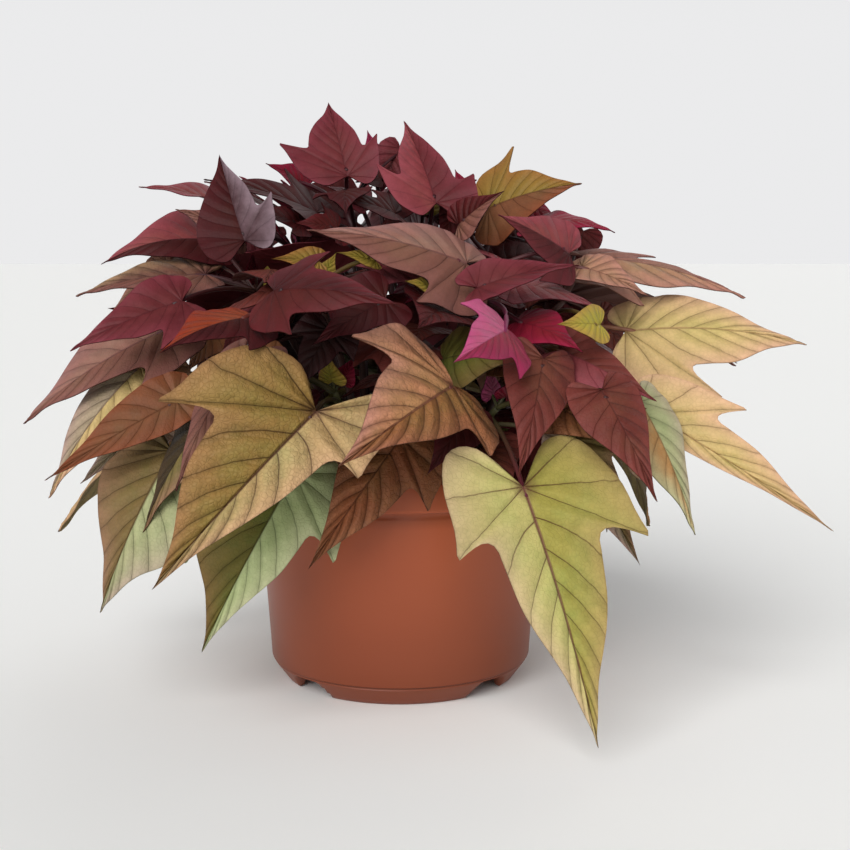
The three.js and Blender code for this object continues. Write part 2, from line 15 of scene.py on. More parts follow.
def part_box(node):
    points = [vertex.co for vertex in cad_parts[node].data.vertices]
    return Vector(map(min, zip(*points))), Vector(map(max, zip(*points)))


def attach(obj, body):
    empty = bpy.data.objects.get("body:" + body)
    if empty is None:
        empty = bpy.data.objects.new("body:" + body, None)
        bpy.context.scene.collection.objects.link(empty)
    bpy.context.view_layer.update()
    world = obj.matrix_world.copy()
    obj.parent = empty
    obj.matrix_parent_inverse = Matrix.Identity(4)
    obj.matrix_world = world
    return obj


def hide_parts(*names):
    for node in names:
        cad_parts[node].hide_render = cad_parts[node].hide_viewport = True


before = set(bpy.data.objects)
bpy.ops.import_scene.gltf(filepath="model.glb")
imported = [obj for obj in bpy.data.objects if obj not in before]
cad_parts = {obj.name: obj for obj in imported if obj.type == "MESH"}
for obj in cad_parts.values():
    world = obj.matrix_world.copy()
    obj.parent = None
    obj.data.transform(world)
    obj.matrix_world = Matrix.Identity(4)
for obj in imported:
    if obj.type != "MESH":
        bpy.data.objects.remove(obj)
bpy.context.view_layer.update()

# ---- pot ----
# An azalea pot of injection moulded polypropylene, coloured right through. It has a
# collar at the rim, a faint line where the feet start, and a ring of four feet with
# gaps between them to let water out. Its profile is turned, as its mould is.
pot_low, pot_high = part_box("pot")
POT_AXIS = 500 * (Vector(pot_low) + Vector(pot_high))
POT_AXIS.z = 0
POT_HEIGHT = 114
POT_STEPS = 240
# the section as (radius, height): up the outside from the base, over the rim and down
POT_PROFILE = [
    (0, 9.5), (20, 9.5), (40, 9.5), (52, 9.5), (57.4, 9.5), (58.5, 9.2), (58.8, 6.5), (59.1, 3.5),
    (59.5, 0.5), (60, 0), (61.4, 0), (62, 0.4), (63.9, 2.9), (66.1, 5.9), (67.8, 8.2), (68.4, 9.1),
    (68.2, 9.6), (68.2, 10.1), (69.3, 10.7), (69.5, 11.4), (70.1, 21), (71.6, 42), (73.2, 65),
    (74.6, 86), (75.2, 95.6), (75.1, 96.4), (74.8, 97.0), (74.8, 98.4), (75.2, 99.3), (77.0, 99.8),
    (77.4, 100.4), (77.5, 101.6), (77.5, 107), (77.5, 112.4), (77.2, 113.5), (76.4, POT_HEIGHT),
    (75.8, POT_HEIGHT), (75.4, 113.6), (75.3, 107), (75.3, 101.2), (73.8, 97), (71.5, 60),
    (67.6, 11.7), (40, 11.7), (0, 11.7),
]
FOOT_RING_INSIDE = 58
NOTCH_HALF_BOTTOM, NOTCH_HALF_TOP, NOTCH_CEILING = 13, 7.5, 9.1
POT_SHARP_EDGE = math.radians(32)


def paint(code):
    """An sRGB hex colour as linear values."""
    parts = [int(code[i:i + 2], 16) / 255 for i in (1, 3, 5)]
    return [c / 12.92 if c <= 0.04045 else ((c + 0.055) / 1.055) ** 2.4 for c in parts] + [1]


def put(tree, kind, links=None, **settings):
    """Adds a node with its settings, and its sockets' values or links."""
    new = tree.nodes.new(kind)
    for key, value in settings.items():
        setattr(new, key, value)
    for key, value in (links or {}).items():
        if isinstance(value, bpy.types.NodeSocket):
            tree.links.new(value, new.inputs[key])
        else:
            new.inputs[key].default_value = value
    return new


def new_material(name):
    """A material without nodes, and its node tree."""
    material = bpy.data.materials.new(name)
    material.use_nodes = True
    tree = material.node_tree
    tree.nodes.clear()
    return material, tree


def turn_profile(bm, profile, steps):
    """Turns a profile of (radius, height) about the pot's axis into a closed body."""
    section = [bm.verts.new((r, 0, z)) for r, z in profile]
    for one, two in zip(section, section[1:]):
        bm.edges.new((one, two))
    bmesh.ops.spin(
        bm, geom=bm.verts[:] + bm.edges[:], cent=(0, 0, 0), axis=(0, 0, 1),
        angle=2 * math.pi, steps=steps, use_merge=True)
    bmesh.ops.remove_doubles(bm, verts=bm.verts, dist=1e-4)
    bmesh.ops.recalc_face_normals(bm, faces=bm.faces)


def take_mesh(bm, name):
    """The mesh of a bmesh that is done with."""
    mesh = bpy.data.meshes.new(name)
    bm.to_mesh(mesh)
    bm.free()
    return mesh


def add_object(name, data):
    """A new object in the scene."""
    thing = bpy.data.objects.new(name, data)
    bpy.context.scene.collection.objects.link(thing)
    return thing


def finish_piece(mesh, name, node, materials=(), smooth=True):
    """Shows a mesh made in millimetres about the pot's axis, in place of its CAD node."""
    mesh.transform(Matrix.Scale(0.001, 4) @ Matrix.Translation(POT_AXIS))
    mesh.name = name
    for material in materials:
        mesh.materials.append(material)
    if smooth:
        mesh.shade_smooth()
    piece = add_object(name, mesh)
    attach(piece, "root")
    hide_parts(node)


def notch_lift(angle, radius):
    """How far a foot notch rises above the floor at this place of the foot ring."""
    quarter = math.pi / 2
    off = (angle - quarter / 2) % quarter
    reach = min(off, quarter - off) * radius
    slope = (NOTCH_HALF_BOTTOM - reach) / (NOTCH_HALF_BOTTOM - NOTCH_HALF_TOP)
    return NOTCH_CEILING * min(1, max(0, slope))


pot_bm = bmesh.new()
turn_profile(pot_bm, POT_PROFILE, POT_STEPS)
for vert in pot_bm.verts:
    radius = math.hypot(vert.co.x, vert.co.y)
    if radius > FOOT_RING_INSIDE and vert.co.z < NOTCH_CEILING:
        vert.co.z = max(vert.co.z, notch_lift(math.atan2(vert.co.y, vert.co.x), radius))
for edge in pot_bm.edges:
    edge.smooth = edge.calc_face_angle(0) < POT_SHARP_EDGE

# Moulded polypropylene: a soft sheen over a skin so finely grained that it only
# breaks the highlights up, faintly cloudy where the melt flowed.
plastic, tree = new_material("moulded polypropylene")
place = put(tree, "ShaderNodeTexCoord").outputs["Object"]
cloud = put(tree, "ShaderNodeTexNoise", {"Vector": place, "Scale": 14, "Detail": 3})
shade = put(tree, "ShaderNodeMix", {
    0: cloud.outputs["Fac"], 6: paint("#a64f2d"), 7: paint("#b45c39")},
    data_type="RGBA")
# fine skin grain, about 0.4 mm, coarser than life so that it shows
grain = put(tree, "ShaderNodeTexNoise", {"Vector": place, "Scale": 2400, "Detail": 2})
bump = put(tree, "ShaderNodeBump", {
    "Height": grain.outputs["Fac"], "Strength": 0.12, "Distance": 0.0001})
rough = put(tree, "ShaderNodeMapRange", {
    "Value": cloud.outputs["Fac"], "To Min": 0.36, "To Max": 0.46})
# painted shade darkens the groove under the collar, the line above the feet, and the wall more and
# more towards the foot
POT_PAINTED_SHADE = [
    (0, "#b4b4b4"), (0.083, "#b6b6b6"), (0.09, "#8a8a8a"), (0.098, "#b8b8b8"), (0.3, "#c8c8c8"),
    (0.55, "#e2e2e2"), (0.8, "#ffffff"), (0.848, "#dedede"), (0.866, "#dadada"), (0.88, "#ffffff")]
up_pot = put(tree, "ShaderNodeMapRange", {
    "Value": put(tree, "ShaderNodeSeparateXYZ", {"Vector": place}).outputs["Z"],
    "From Max": 0.001 * POT_HEIGHT})
painted_shade = put(tree, "ShaderNodeValToRGB", {"Fac": up_pot.outputs["Result"]})
for i, (at, grey) in enumerate(POT_PAINTED_SHADE):
    stops = painted_shade.color_ramp.elements
    stop = stops[i] if i < 2 else stops.new(at)
    stop.position, stop.color = at, paint(grey)
# the plastic's colour times the painted shade
shaded_plastic = put(tree, "ShaderNodeMix", {0: 1.0, 6: shade.outputs[2], 7: painted_shade.outputs["Color"]},
            data_type="RGBA", blend_type="MULTIPLY")
skin = put(tree, "ShaderNodeBsdfPrincipled", {
    "Base Color": shaded_plastic.outputs[2], "Roughness": rough.outputs["Result"],
    "Normal": bump.outputs["Normal"], "IOR": 1.49, "Specular IOR Level": 0.35})
put(tree, "ShaderNodeOutputMaterial", {"Surface": skin.outputs["BSDF"]})
finish_piece(take_mesh(pot_bm, "pot_shell"), "pot_shell", "pot", [plastic])

# ---- potting mix ----
# Moist peat and composted bark, filled to a little below the rim, with crumbs of bark
# and white perlite on top. A plain block below, never seen, fills the pot.
SOIL_RADIUS = 73.3
SOIL_FLOOR_RADIUS = 67.1
SOIL_FLOOR = 12.2
SOIL_TOP = 101
SOIL_STEPS = 180
SOIL_SHOULDER = 98.6
CLOD_SIZE, CLOD_RELIEF = 6, 1.3
CRUMBS, CRUMB_RADIUS = 900, (0.7, 2.6)
PERLITE, PERLITE_RADIUS = 110, (0.9, 1.8)
rng = np.random.default_rng(11)


def clods(point):
    """Crumbly relief, from clods a centimetre across down to single crumbs."""
    place = Vector(point) / CLOD_SIZE
    return noise.noise(place) + 0.5 * noise.noise(2.3 * place) + 0.3 * noise.noise(5.1 * place)


soil_bm = bmesh.new()
soil_profile = [
    (0, SOIL_FLOOR), (SOIL_FLOOR_RADIUS, SOIL_FLOOR), (SOIL_RADIUS, 96),
    (SOIL_RADIUS - 0.4, SOIL_SHOULDER)]
soil_profile += [(r, SOIL_TOP - 1) for r in np.linspace(SOIL_RADIUS - 2, 0, 60)]
turn_profile(soil_bm, soil_profile, SOIL_STEPS)
for vert in soil_bm.verts:
    if vert.co.z > SOIL_SHOULDER + 0.2:
        vert.co.z += CLOD_RELIEF * clods(vert.co)
for k in range(CRUMBS + PERLITE):
    white = k >= CRUMBS
    spread = (SOIL_RADIUS - 3) * math.sqrt(rng.random())
    turn = 2 * math.pi * rng.random()
    size = rng.uniform(*PERLITE_RADIUS) if white else rng.uniform(*CRUMB_RADIUS)
    rise = SOIL_TOP - 0.8 + rng.uniform(-0.5, 0.8)
    spot = (spread * math.cos(turn), spread * math.sin(turn), rise)
    stretch = Matrix.Diagonal((1, rng.uniform(0.5, 1), rng.uniform(0.4, 0.9), 1))
    spin = Matrix.Rotation(6.3 * rng.random(), 4, Vector(rng.normal(size=3)).normalized())
    crumb = bmesh.ops.create_icosphere(
        soil_bm, subdivisions=1, radius=size, matrix=Matrix.Translation(spot) @ spin @ stretch)
    for face in {f for vert in crumb["verts"] for f in vert.link_faces}:
        face.material_index = int(white)

# Moist peat: dark brown, dull, and grainy at a few millimetres.
peat, tree = new_material("moist peat and bark")
place = put(tree, "ShaderNodeTexCoord").outputs["Object"]
fibres = put(tree, "ShaderNodeTexNoise", {
    "Vector": place, "Scale": 180, "Detail": 6, "Roughness": 0.7})
tint = put(tree, "ShaderNodeValToRGB", {"Fac": fibres.outputs["Fac"]})
tint.color_ramp.elements[0].position = 0.35
tint.color_ramp.elements[0].color = paint("#1a120d")
tint.color_ramp.elements[1].position = 0.7
tint.color_ramp.elements[1].color = paint("#4a3424")
bump = put(tree, "ShaderNodeBump", {
    "Height": fibres.outputs["Fac"], "Strength": 0.8, "Distance": 0.0012})
skin = put(tree, "ShaderNodeBsdfPrincipled", {
    "Base Color": tint.outputs["Color"], "Roughness": 0.92, "Normal": bump.outputs["Normal"]})
put(tree, "ShaderNodeOutputMaterial", {"Surface": skin.outputs["BSDF"]})

# Expanded perlite: chalky white glass foam, pitted.
perlite, tree = new_material("expanded perlite")
place = put(tree, "ShaderNodeTexCoord").outputs["Object"]
pits = put(tree, "ShaderNodeTexVoronoi", {"Vector": place, "Scale": 2200})
tint = put(tree, "ShaderNodeMix", {
    0: pits.outputs["Distance"], 6: paint("#b7b2a6"), 7: paint("#e4e1d9")}, data_type="RGBA")
bump = put(tree, "ShaderNodeBump", {
    "Height": pits.outputs["Distance"], "Strength": 0.6, "Distance": 0.0003})
skin = put(tree, "ShaderNodeBsdfPrincipled", {
    "Base Color": tint.outputs[2], "Roughness": 0.85, "Normal": bump.outputs["Normal"]})
put(tree, "ShaderNodeOutputMaterial", {"Surface": skin.outputs["BSDF"]})
finish_piece(take_mesh(soil_bm, "potting_mix"), "potting_mix", "soil",
             [peat, perlite], smooth=False)

# ---- leaf blades ----
# A blade is a thin arched skin, heart shaped or with a shoulder lobe on either side,
# drawn out to a drip tip. Veins fan out from the stalk and run off the midrib, and
# the skin swells between them. Each is grown flat, then arched, folded and waved.
BLADE_ROWS, BLADE_COLUMNS = 52, 11
BLADE_THICKNESS, CAD_THICKNESS = 0.5, 0.9
TEMPLATE_HALF = 0.01
# the share of the grid's rows that fans out from the stalk, and how the rows crowd
# towards it and the columns towards the midrib
FAN_SHARE, ROW_CROWDING, COLUMN_CROWDING = 0.3, 1.15, 1.4
VEIN_SPACING, VEIN_BEND, FAN_VEINS = 0.13, 0.06, 3
# the swelling between veins, the edge's ruffle and the blade's waves, in leaf lengths,
# and how fast the last two turn along the leaf
PILLOW, RUFFLE, WAVE = 0.008, 0.006, 0.2
RUFFLE_TURNS, WAVE_TURNS = 17, 9
# in millimetres, the midrib's half width, the groove above it and the keel below it
KEEL_WIDTH, GROOVE_DEPTH, KEEL_DEPTH = 1.3, 0.3, 0.7
# blades turn their faces half outwards and half to a point far off, up in the light
BUSH_CENTRE = Vector((0, 0, 110))
FAR = 700
FAR_POINT = Vector((13, -FAR, 221))

# Half outlines: (rib, along, across). Ribs from -1 to 0 fan out from the stalk, and a
# rib above 0 starts at that place of the midrib. A row given twice is a sharp point.
LOBED = [
    (-1, -0.1, 0.09), (-0.86, -0.165, 0.17), (-0.72, -0.17, 0.26), (-0.58, -0.12, 0.345),
    (-0.43, -0.02, 0.39), (-0.28, 0.08, 0.415), (-0.14, 0.19, 0.43), (0, 0.29, 0.46),
    (0, 0.29, 0.46), (0.04, 0.24, 0.36), (0.08, 0.22, 0.29), (0.12, 0.24, 0.247),
    (0.17, 0.31, 0.235), (0.26, 0.45, 0.21), (0.37, 0.56, 0.168), (0.48, 0.66, 0.12),
    (0.6, 0.765, 0.07), (0.72, 0.86, 0.035), (0.86, 0.935, 0.013), (1, 1, 0),
]
PLAIN = [
    (-1, -0.09, 0.09), (-0.86, -0.15, 0.17), (-0.72, -0.155, 0.25), (-0.55, -0.1, 0.32),
    (-0.36, -0.03, 0.352), (-0.18, 0.05, 0.37), (0, 0.13, 0.37), (0.1, 0.24, 0.345),
    (0.18, 0.33, 0.305), (0.26, 0.42, 0.26), (0.37, 0.55, 0.185), (0.48, 0.66, 0.12),
    (0.6, 0.77, 0.07), (0.72, 0.87, 0.033), (0.86, 0.94, 0.012), (1, 1, 0),
]
SMALL = [
    (-1, -0.09, 0.09), (-0.8, -0.15, 0.2), (-0.5, -0.1, 0.32), (-0.2, 0.02, 0.37), (0, 0.12, 0.37),
    (0.12, 0.23, 0.34), (0.3, 0.45, 0.235), (0.48, 0.65, 0.13), (0.7, 0.85, 0.04), (1, 1, 0),
]
HALVES = {"L": LOBED, "P": PLAIN, "S": SMALL}


def edge_point(points, rib):
    """A smooth curve through the outline's points, which turns sharply at a double one."""
    last = len(points) - 1
    k = max(i for i in range(last) if points[i][0] <= rib and points[i + 1][0] > points[i][0])
    (r0, *p0), (r1, *p1) = points[k], points[k + 1]

    def slope(i):
        low, high = max(i - 1, 0), min(i + 1, last)
        if points[low][0] == points[i][0]:
            low = i
        if points[high][0] == points[i][0]:
            high = i
        (low_rib, *start), (high_rib, *end) = points[low], points[high]
        return (Vector(end) - Vector(start)) / (high_rib - low_rib)

    s, gap = (rib - r0) / (r1 - r0), r1 - r0
    return ((2 * s**3 - 3 * s**2 + 1) * Vector(p0) + (s**3 - 2 * s**2 + s) * gap * slope(k)
            + (3 * s**2 - 2 * s**3) * Vector(p1) + (s**3 - s**2) * gap * slope(k + 1))


def vein_turns(rib, out, side):
    """Veins counted from the one into the shoulder: whole at a vein, bent to the tip."""
    bent = rib - VEIN_BEND * out * out * np.minimum(1, 5 * rib)
    # opposite one another at the stalk, the side veins fall out of step outwards
    return np.where(rib < 0, FAN_VEINS * rib, bent * (1 / VEIN_SPACING + 0.5 * side))


def blade_template(form, rows=BLADE_ROWS, columns=BLADE_COLUMNS):
    """A flat closed blade in leaf lengths: x along, y across, and z just up or down."""
    bm = bmesh.new()
    bmesh.ops.create_grid(bm, x_segments=2 * columns, y_segments=rows, size=1)
    leaf_uv = bm.loops.layers.uv.new("leaf")
    rib_uv = bm.loops.layers.uv.new("rib")
    rib_layer = bm.verts.layers.float.new("rib_at")
    out_layer = bm.verts.layers.float.new("out_at")
    for vert in bm.verts:
        row = (vert.co.y + 1) / 2
        if row < FAN_SHARE:
            vert[rib_layer] = (row - FAN_SHARE) / FAN_SHARE
        else:
            vert[rib_layer] = ((row - FAN_SHARE) / (1 - FAN_SHARE)) ** ROW_CROWDING
        vert[out_layer] = abs(vert.co.x) ** COLUMN_CROWDING
    for face in bm.faces:
        side = math.copysign(1, face.calc_center_median().x)
        for loop in face.loops:
            rib, out = loop.vert[rib_layer], loop.vert[out_layer]
            loop[rib_uv].uv = (vein_turns(rib, out, side), side * out)
    for vert in bm.verts:
        side, rib, out = math.copysign(1, vert.co.x), vert[rib_layer], vert[out_layer]
        start, edge = max(rib, 0), edge_point(HALVES[form[side > 0]], min(rib, 1))
        flat = (start + out * (edge.x - start), side * out * edge.y)
        for loop in vert.link_loops:
            loop[leaf_uv].uv = flat
        vert.co = (*flat, TEMPLATE_HALF)
    bmesh.ops.remove_doubles(bm, verts=bm.verts, dist=1e-5)
    lower = bmesh.ops.duplicate(bm, geom=bm.verts[:] + bm.edges[:] + bm.faces[:])["geom"]
    lower_verts = [item for item in lower if isinstance(item, bmesh.types.BMVert)]
    bmesh.ops.translate(bm, verts=lower_verts, vec=(0, 0, -2 * TEMPLATE_HALF))
    rims = [edge for edge in bm.edges if edge.is_boundary]
    for face in bmesh.ops.bridge_loops(bm, edges=rims)["faces"]:
        for loop in face.loops:
            loop[leaf_uv].uv = loop.vert.co.xy
            loop[rib_uv].uv = (0.5, 1)
    for edge in rims:
        edge.smooth = False
    bmesh.ops.recalc_face_normals(bm, faces=bm.faces)
    return take_mesh(bm, "blade_" + form)


def read_layer(mesh, name, field="value", width=1):
    """One row of numbers for each point of a mesh."""
    values = np.empty(len(mesh.vertices) * width)
    mesh.attributes[name].data.foreach_get(field, values)
    return values.reshape(-1, width)


def leaf_axes(leaf, place):
    """A leaf's own axes: along its midrib, out of its upper side, and across.

    Its place says how far it has slid towards its far point, swung and risen.
    """
    slide, swing, rise = place
    turn = Matrix.Rotation(math.radians(swing), 3, "Z")
    base, tip = [
        turn @ point.lerp(leaf["far"], slide / FAR) + Vector((0, 0, rise))
        for point in (leaf["base"], leaf["tip"])]
    along = (tip - base).normalized()
    face = (leaf["far"] - base).normalized() + (base.lerp(tip, 0.4) - BUSH_CENTRE).normalized()
    face = (face - face.dot(along) * along).normalized()
    side = face.cross(along)
    roll = math.radians(leaf["roll"])
    up = math.cos(roll) * face - math.sin(roll) * side
    across = math.cos(roll) * side + math.sin(roll) * face
    return {"base": base, "tip": tip, "along": along, "up": up, "across": across,
            "length": (tip - base).length}


def blade_heights(leaf, flat):
    """Bends flat blade points: arched along the midrib, folded at it, waved at the edge."""
    a, b = flat[:, 0], flat[:, 1]
    width = np.where(b < 0, leaf["left"][0], leaf["right"][0])
    sweep = np.where(b < 0, leaf["left"][1], leaf["right"][1])
    out = abs(b) * width
    along = a + sweep * out
    height = (leaf["curl"] * 4 * along * (1 - along) + leaf["fold"] * out
              + WAVE * out * out * np.sin(WAVE_TURNS * along + leaf["phase"]))
    return along, np.sign(b) * out, height


def on_blade(leaf, axes, flat, lift):
    """Where flat blade points come to lie, each lifted a little off the blade."""
    along, across, height = blade_heights(leaf, flat)
    length = axes["length"]
    return (np.array(axes["base"]) + np.outer(along * length, axes["along"])
            + np.outer(across * length, axes["across"])
            + np.outer(height * length + lift, axes["up"]))


def blade_mesh(leaf, axes, template):
    """The finished blade: quilted between the veins, with a groove or keel at the midrib."""
    mesh = template.copy()
    flat = read_layer(mesh, "position", "vector", 3)
    rib, out = read_layer(mesh, "rib_at")[:, 0], read_layer(mesh, "out_at")[:, 0]
    length, side = axes["length"], np.sign(flat[:, 1])
    upper = flat[:, 2] > 0
    swell = np.sin(np.pi * vein_turns(rib, out, side)) ** 2
    swell = swell * (4 * out * (1 - out)) ** 0.6 * PILLOW * length * leaf["quilt"]
    ruffle = RUFFLE * length * out**3 * np.sin(RUFFLE_TURNS * rib + 2 * leaf["phase"] + side)
    keel = np.exp(-(flat[:, 1] * length / KEEL_WIDTH) ** 2) * np.clip(1 - flat[:, 0], 0, 1)
    faces = np.where(upper, BLADE_THICKNESS / 2 - GROOVE_DEPTH * keel,
                     -BLADE_THICKNESS / 2 - KEEL_DEPTH * keel)
    mesh.vertices.foreach_set("co", on_blade(leaf, axes, flat, swell + ruffle + faces).ravel())
    colour_blade(mesh, leaf, flat, upper)
    return mesh


# Blade colours, as sorts that the leaves below name: the skin, its edge, soft patches
# on it, its under side and its veins as sRGB hex, how strongly the veins are coloured,
# and how far the skin swells between them. Young shoots are yellow, sunlit leaves
# burgundy, old shaded ones fade through copper to olive, and those inside are dark,
# partly their own colour and partly painted shade.
SORTS = {
    "citron": ("#bdb36c", "#cbb088", "#b0b366", "#a9a97c", "#5c1428", 0.95, 1.1),
    "chartreuse": ("#9f9546", "#b2985f", "#93994a", "#9c9c68", "#541226", 1.0, 1.3),
    "straw": ("#d3b67a", "#dcae8c", "#c4b26a", "#b8a074", "#8a5c44", 0.6, 1.2),
    "gold": ("#8e7030", "#966430", "#817030", "#7c6838", "#45240f", 0.6, 0.8),
    "olive": ("#8f7039", "#a0764c", "#877a3a", "#857a50", "#3c1c18", 0.95, 2.2),
    "tan": ("#bb9b69", "#c39b74", "#aaa268", "#94855c", "#5e3038", 0.8, 1.9),
    "loam": ("#7a643a", "#906c52", "#726a36", "#6e6244", "#3c2a1a", 0.65, 1.3),
    "turning": ("#b98a56", "#bcb68a", "#b2a478", "#8f8a60", "#5e3a1e", 0.5, 1.0),
    "sage": ("#a9ab7c", "#b2a08a", "#9eac74", "#8f9a72", "#66704a", 0.5, 1.2),
    "celadon": ("#b4c088", "#bcbc92", "#a8b87a", "#98a278", "#6c7850", 0.5, 1.2),
    "moss": ("#676029", "#745a32", "#586628", "#6a6c46", "#322c12", 0.65, 1.2),
    "putty": ("#ad9a7e", "#b39488", "#a09c72", "#8d8670", "#6a5048", 0.6, 1.5),
    "copper": ("#b98058", "#bd8470", "#a88450", "#8f6044", "#5a2826", 0.8, 2.2),
    "bronze": ("#946038", "#9d6448", "#8c6c3a", "#724a30", "#431c18", 0.85, 2.8),
    "fawn": ("#7a4c32", "#84462a", "#7a5a3a", "#6a402a", "#4a2212", 0.45, 0.8),
    "umber": ("#80492c", "#865538", "#7a5630", "#5e4028", "#3a1c12", 0.6, 2.0),
    "rust": ("#8c381c", "#8e2f1c", "#945034", "#723220", "#5a1c10", 0.4, 0.6),
    "russet": ("#652c24", "#773832", "#6e402e", "#4c2820", "#3a1412", 0.45, 0.9),
    "clay": ("#ab7c62", "#b78070", "#ac8e66", "#80604c", "#683a36", 0.55, 1.2),
    "mauve": ("#936658", "#9c6c66", "#987866", "#6e4c44", "#58262e", 0.6, 1.0),
    "cocoa": ("#7c4f42", "#84544c", "#825e48", "#5a3c34", "#3e1a20", 0.5, 1.1),
    "dusk": ("#3c2022", "#8a747c", "#6e565c", "#50363c", "#30181c", 0.3, 0.5),
    "rose": ("#7e3639", "#94464f", "#8a4a44", "#6e3a3e", "#521a26", 0.4, 0.5),
    "burgundy": ("#5c1e22", "#78303a", "#6c3030", "#5a2226", "#3a0e16", 0.4, 0.4),
    "wine": ("#46120f", "#5c1c20", "#561e1a", "#481618", "#2c0a10", 0.35, 0.4),
    "oxblood": ("#3b0f10", "#4c161a", "#461a14", "#341012", "#1e0608", 0.35, 0.4),
    "garnet": ("#441618", "#68282e", "#50201f", "#3e1416", "#2c0a10", 0.3, 0.5),
    "smoke": ("#6a4238", "#a08060", "#86644e", "#5a3c32", "#42202a", 0.5, 1.2),
    "peat": ("#3a2c1a", "#4c3a26", "#3e321a", "#2c2014", "#1e120a", 0.5, 1.2),
    "soot": ("#240d0c", "#300f10", "#2c140d", "#1c0a0a", "#120606", 0.4, 0.8),
    "crimson": ("#7a1428", "#901a3a", "#7c1e22", "#641424", "#440a1a", 0.35, 0.4),
    "cerise": ("#8c2742", "#9c2c54", "#90343c", "#6a1c34", "#58122e", 0.4, 0.5),
    "magenta": ("#bd5576", "#c25080", "#b26484", "#943a5a", "#78244c", 0.35, 0.5),
    "lime": ("#b09a3c", "#b28c44", "#9c9c3e", "#92904c", "#6e5a24", 0.4, 0.6),
}


def colour_blade(mesh, leaf, flat, upper):
    """Gives a blade's points the colours of the half and the side they are on."""
    on_right = flat[:, 1] > 0
    left, right = [SORTS[sort] for sort in leaf["sorts"]]
    *skins, under, vein = [
        np.where(on_right[:, None], paint(right[k]), paint(left[k])) for k in range(5)]
    strength = np.where(on_right, right[5], left[5])
    vein[:, 3] = np.where(upper, strength, 0.5 * strength)
    skins = [np.where(upper[:, None], values, under) for values in skins]
    for name, values in zip(("skin", "edge", "patch", "vein"), [*skins, vein]):
        layer = mesh.color_attributes.new(name + "_colour", "FLOAT_COLOR", "POINT")
        layer.data.foreach_set("color", values.ravel())
    swell = mesh.attributes.new("swell", "FLOAT", "POINT")
    swell.data.foreach_set("value", leaf["quilt"] * np.where(upper, 1.0, -0.7))


# Living leaf: a waxy, softly shining skin over pulp. Veins are darker lines that
# taper outwards, sunk above and raised below, with a fine net between them.
leaf_skin, tree = new_material("living leaf")
place = put(tree, "ShaderNodeTexCoord").outputs["Object"]
leaf_place = put(tree, "ShaderNodeUVMap", uv_map="leaf").outputs["UV"]
on_leaf = put(tree, "ShaderNodeSeparateXYZ", {"Vector": leaf_place})
on_rib = put(tree, "ShaderNodeSeparateXYZ", {
    "Vector": put(tree, "ShaderNodeUVMap", uv_map="rib").outputs["UV"]})
wander = put(tree, "ShaderNodeTexNoise", {"Vector": place, "Scale": 90, "Detail": 2})
blotch = put(tree, "ShaderNodeTexNoise", {
    "Vector": place, "Scale": 42, "Detail": 4, "Roughness": 0.6})
mottle = put(tree, "ShaderNodeTexNoise", {
    "Vector": place, "Scale": 150, "Detail": 5, "Roughness": 0.65})
# cross veins, which part the skin into cells of about 8 mm, and a fine net of 2 mm
cells = put(tree, "ShaderNodeTexVoronoi", {"Vector": place, "Scale": 125, "Randomness": 0.8},
            feature="DISTANCE_TO_EDGE")
net = put(tree, "ShaderNodeTexVoronoi", {"Vector": place, "Scale": 460, "Randomness": 0.9},
          feature="DISTANCE_TO_EDGE")
skin_colour, edge_colour, patch_colour, vein_colour, swell = [
    put(tree, "ShaderNodeAttribute", attribute_name=name)
    for name in ("skin_colour", "edge_colour", "patch_colour", "vein_colour", "swell")]
found = {
    "along": on_leaf.outputs["X"], "leaf_y": on_leaf.outputs["Y"], "rib_x": on_rib.outputs["X"],
    "rib_y": on_rib.outputs["Y"], "wander": wander.outputs["Fac"], "mottle": mottle.outputs["Fac"],
    "cells": cells.outputs["Distance"], "net": net.outputs["Distance"],
    "swell": swell.outputs["Fac"], "vein_share": vein_colour.outputs["Alpha"],
}
found["radius"] = put(
    tree, "ShaderNodeVectorMath", {0: leaf_place}, operation="LENGTH").outputs["Value"]
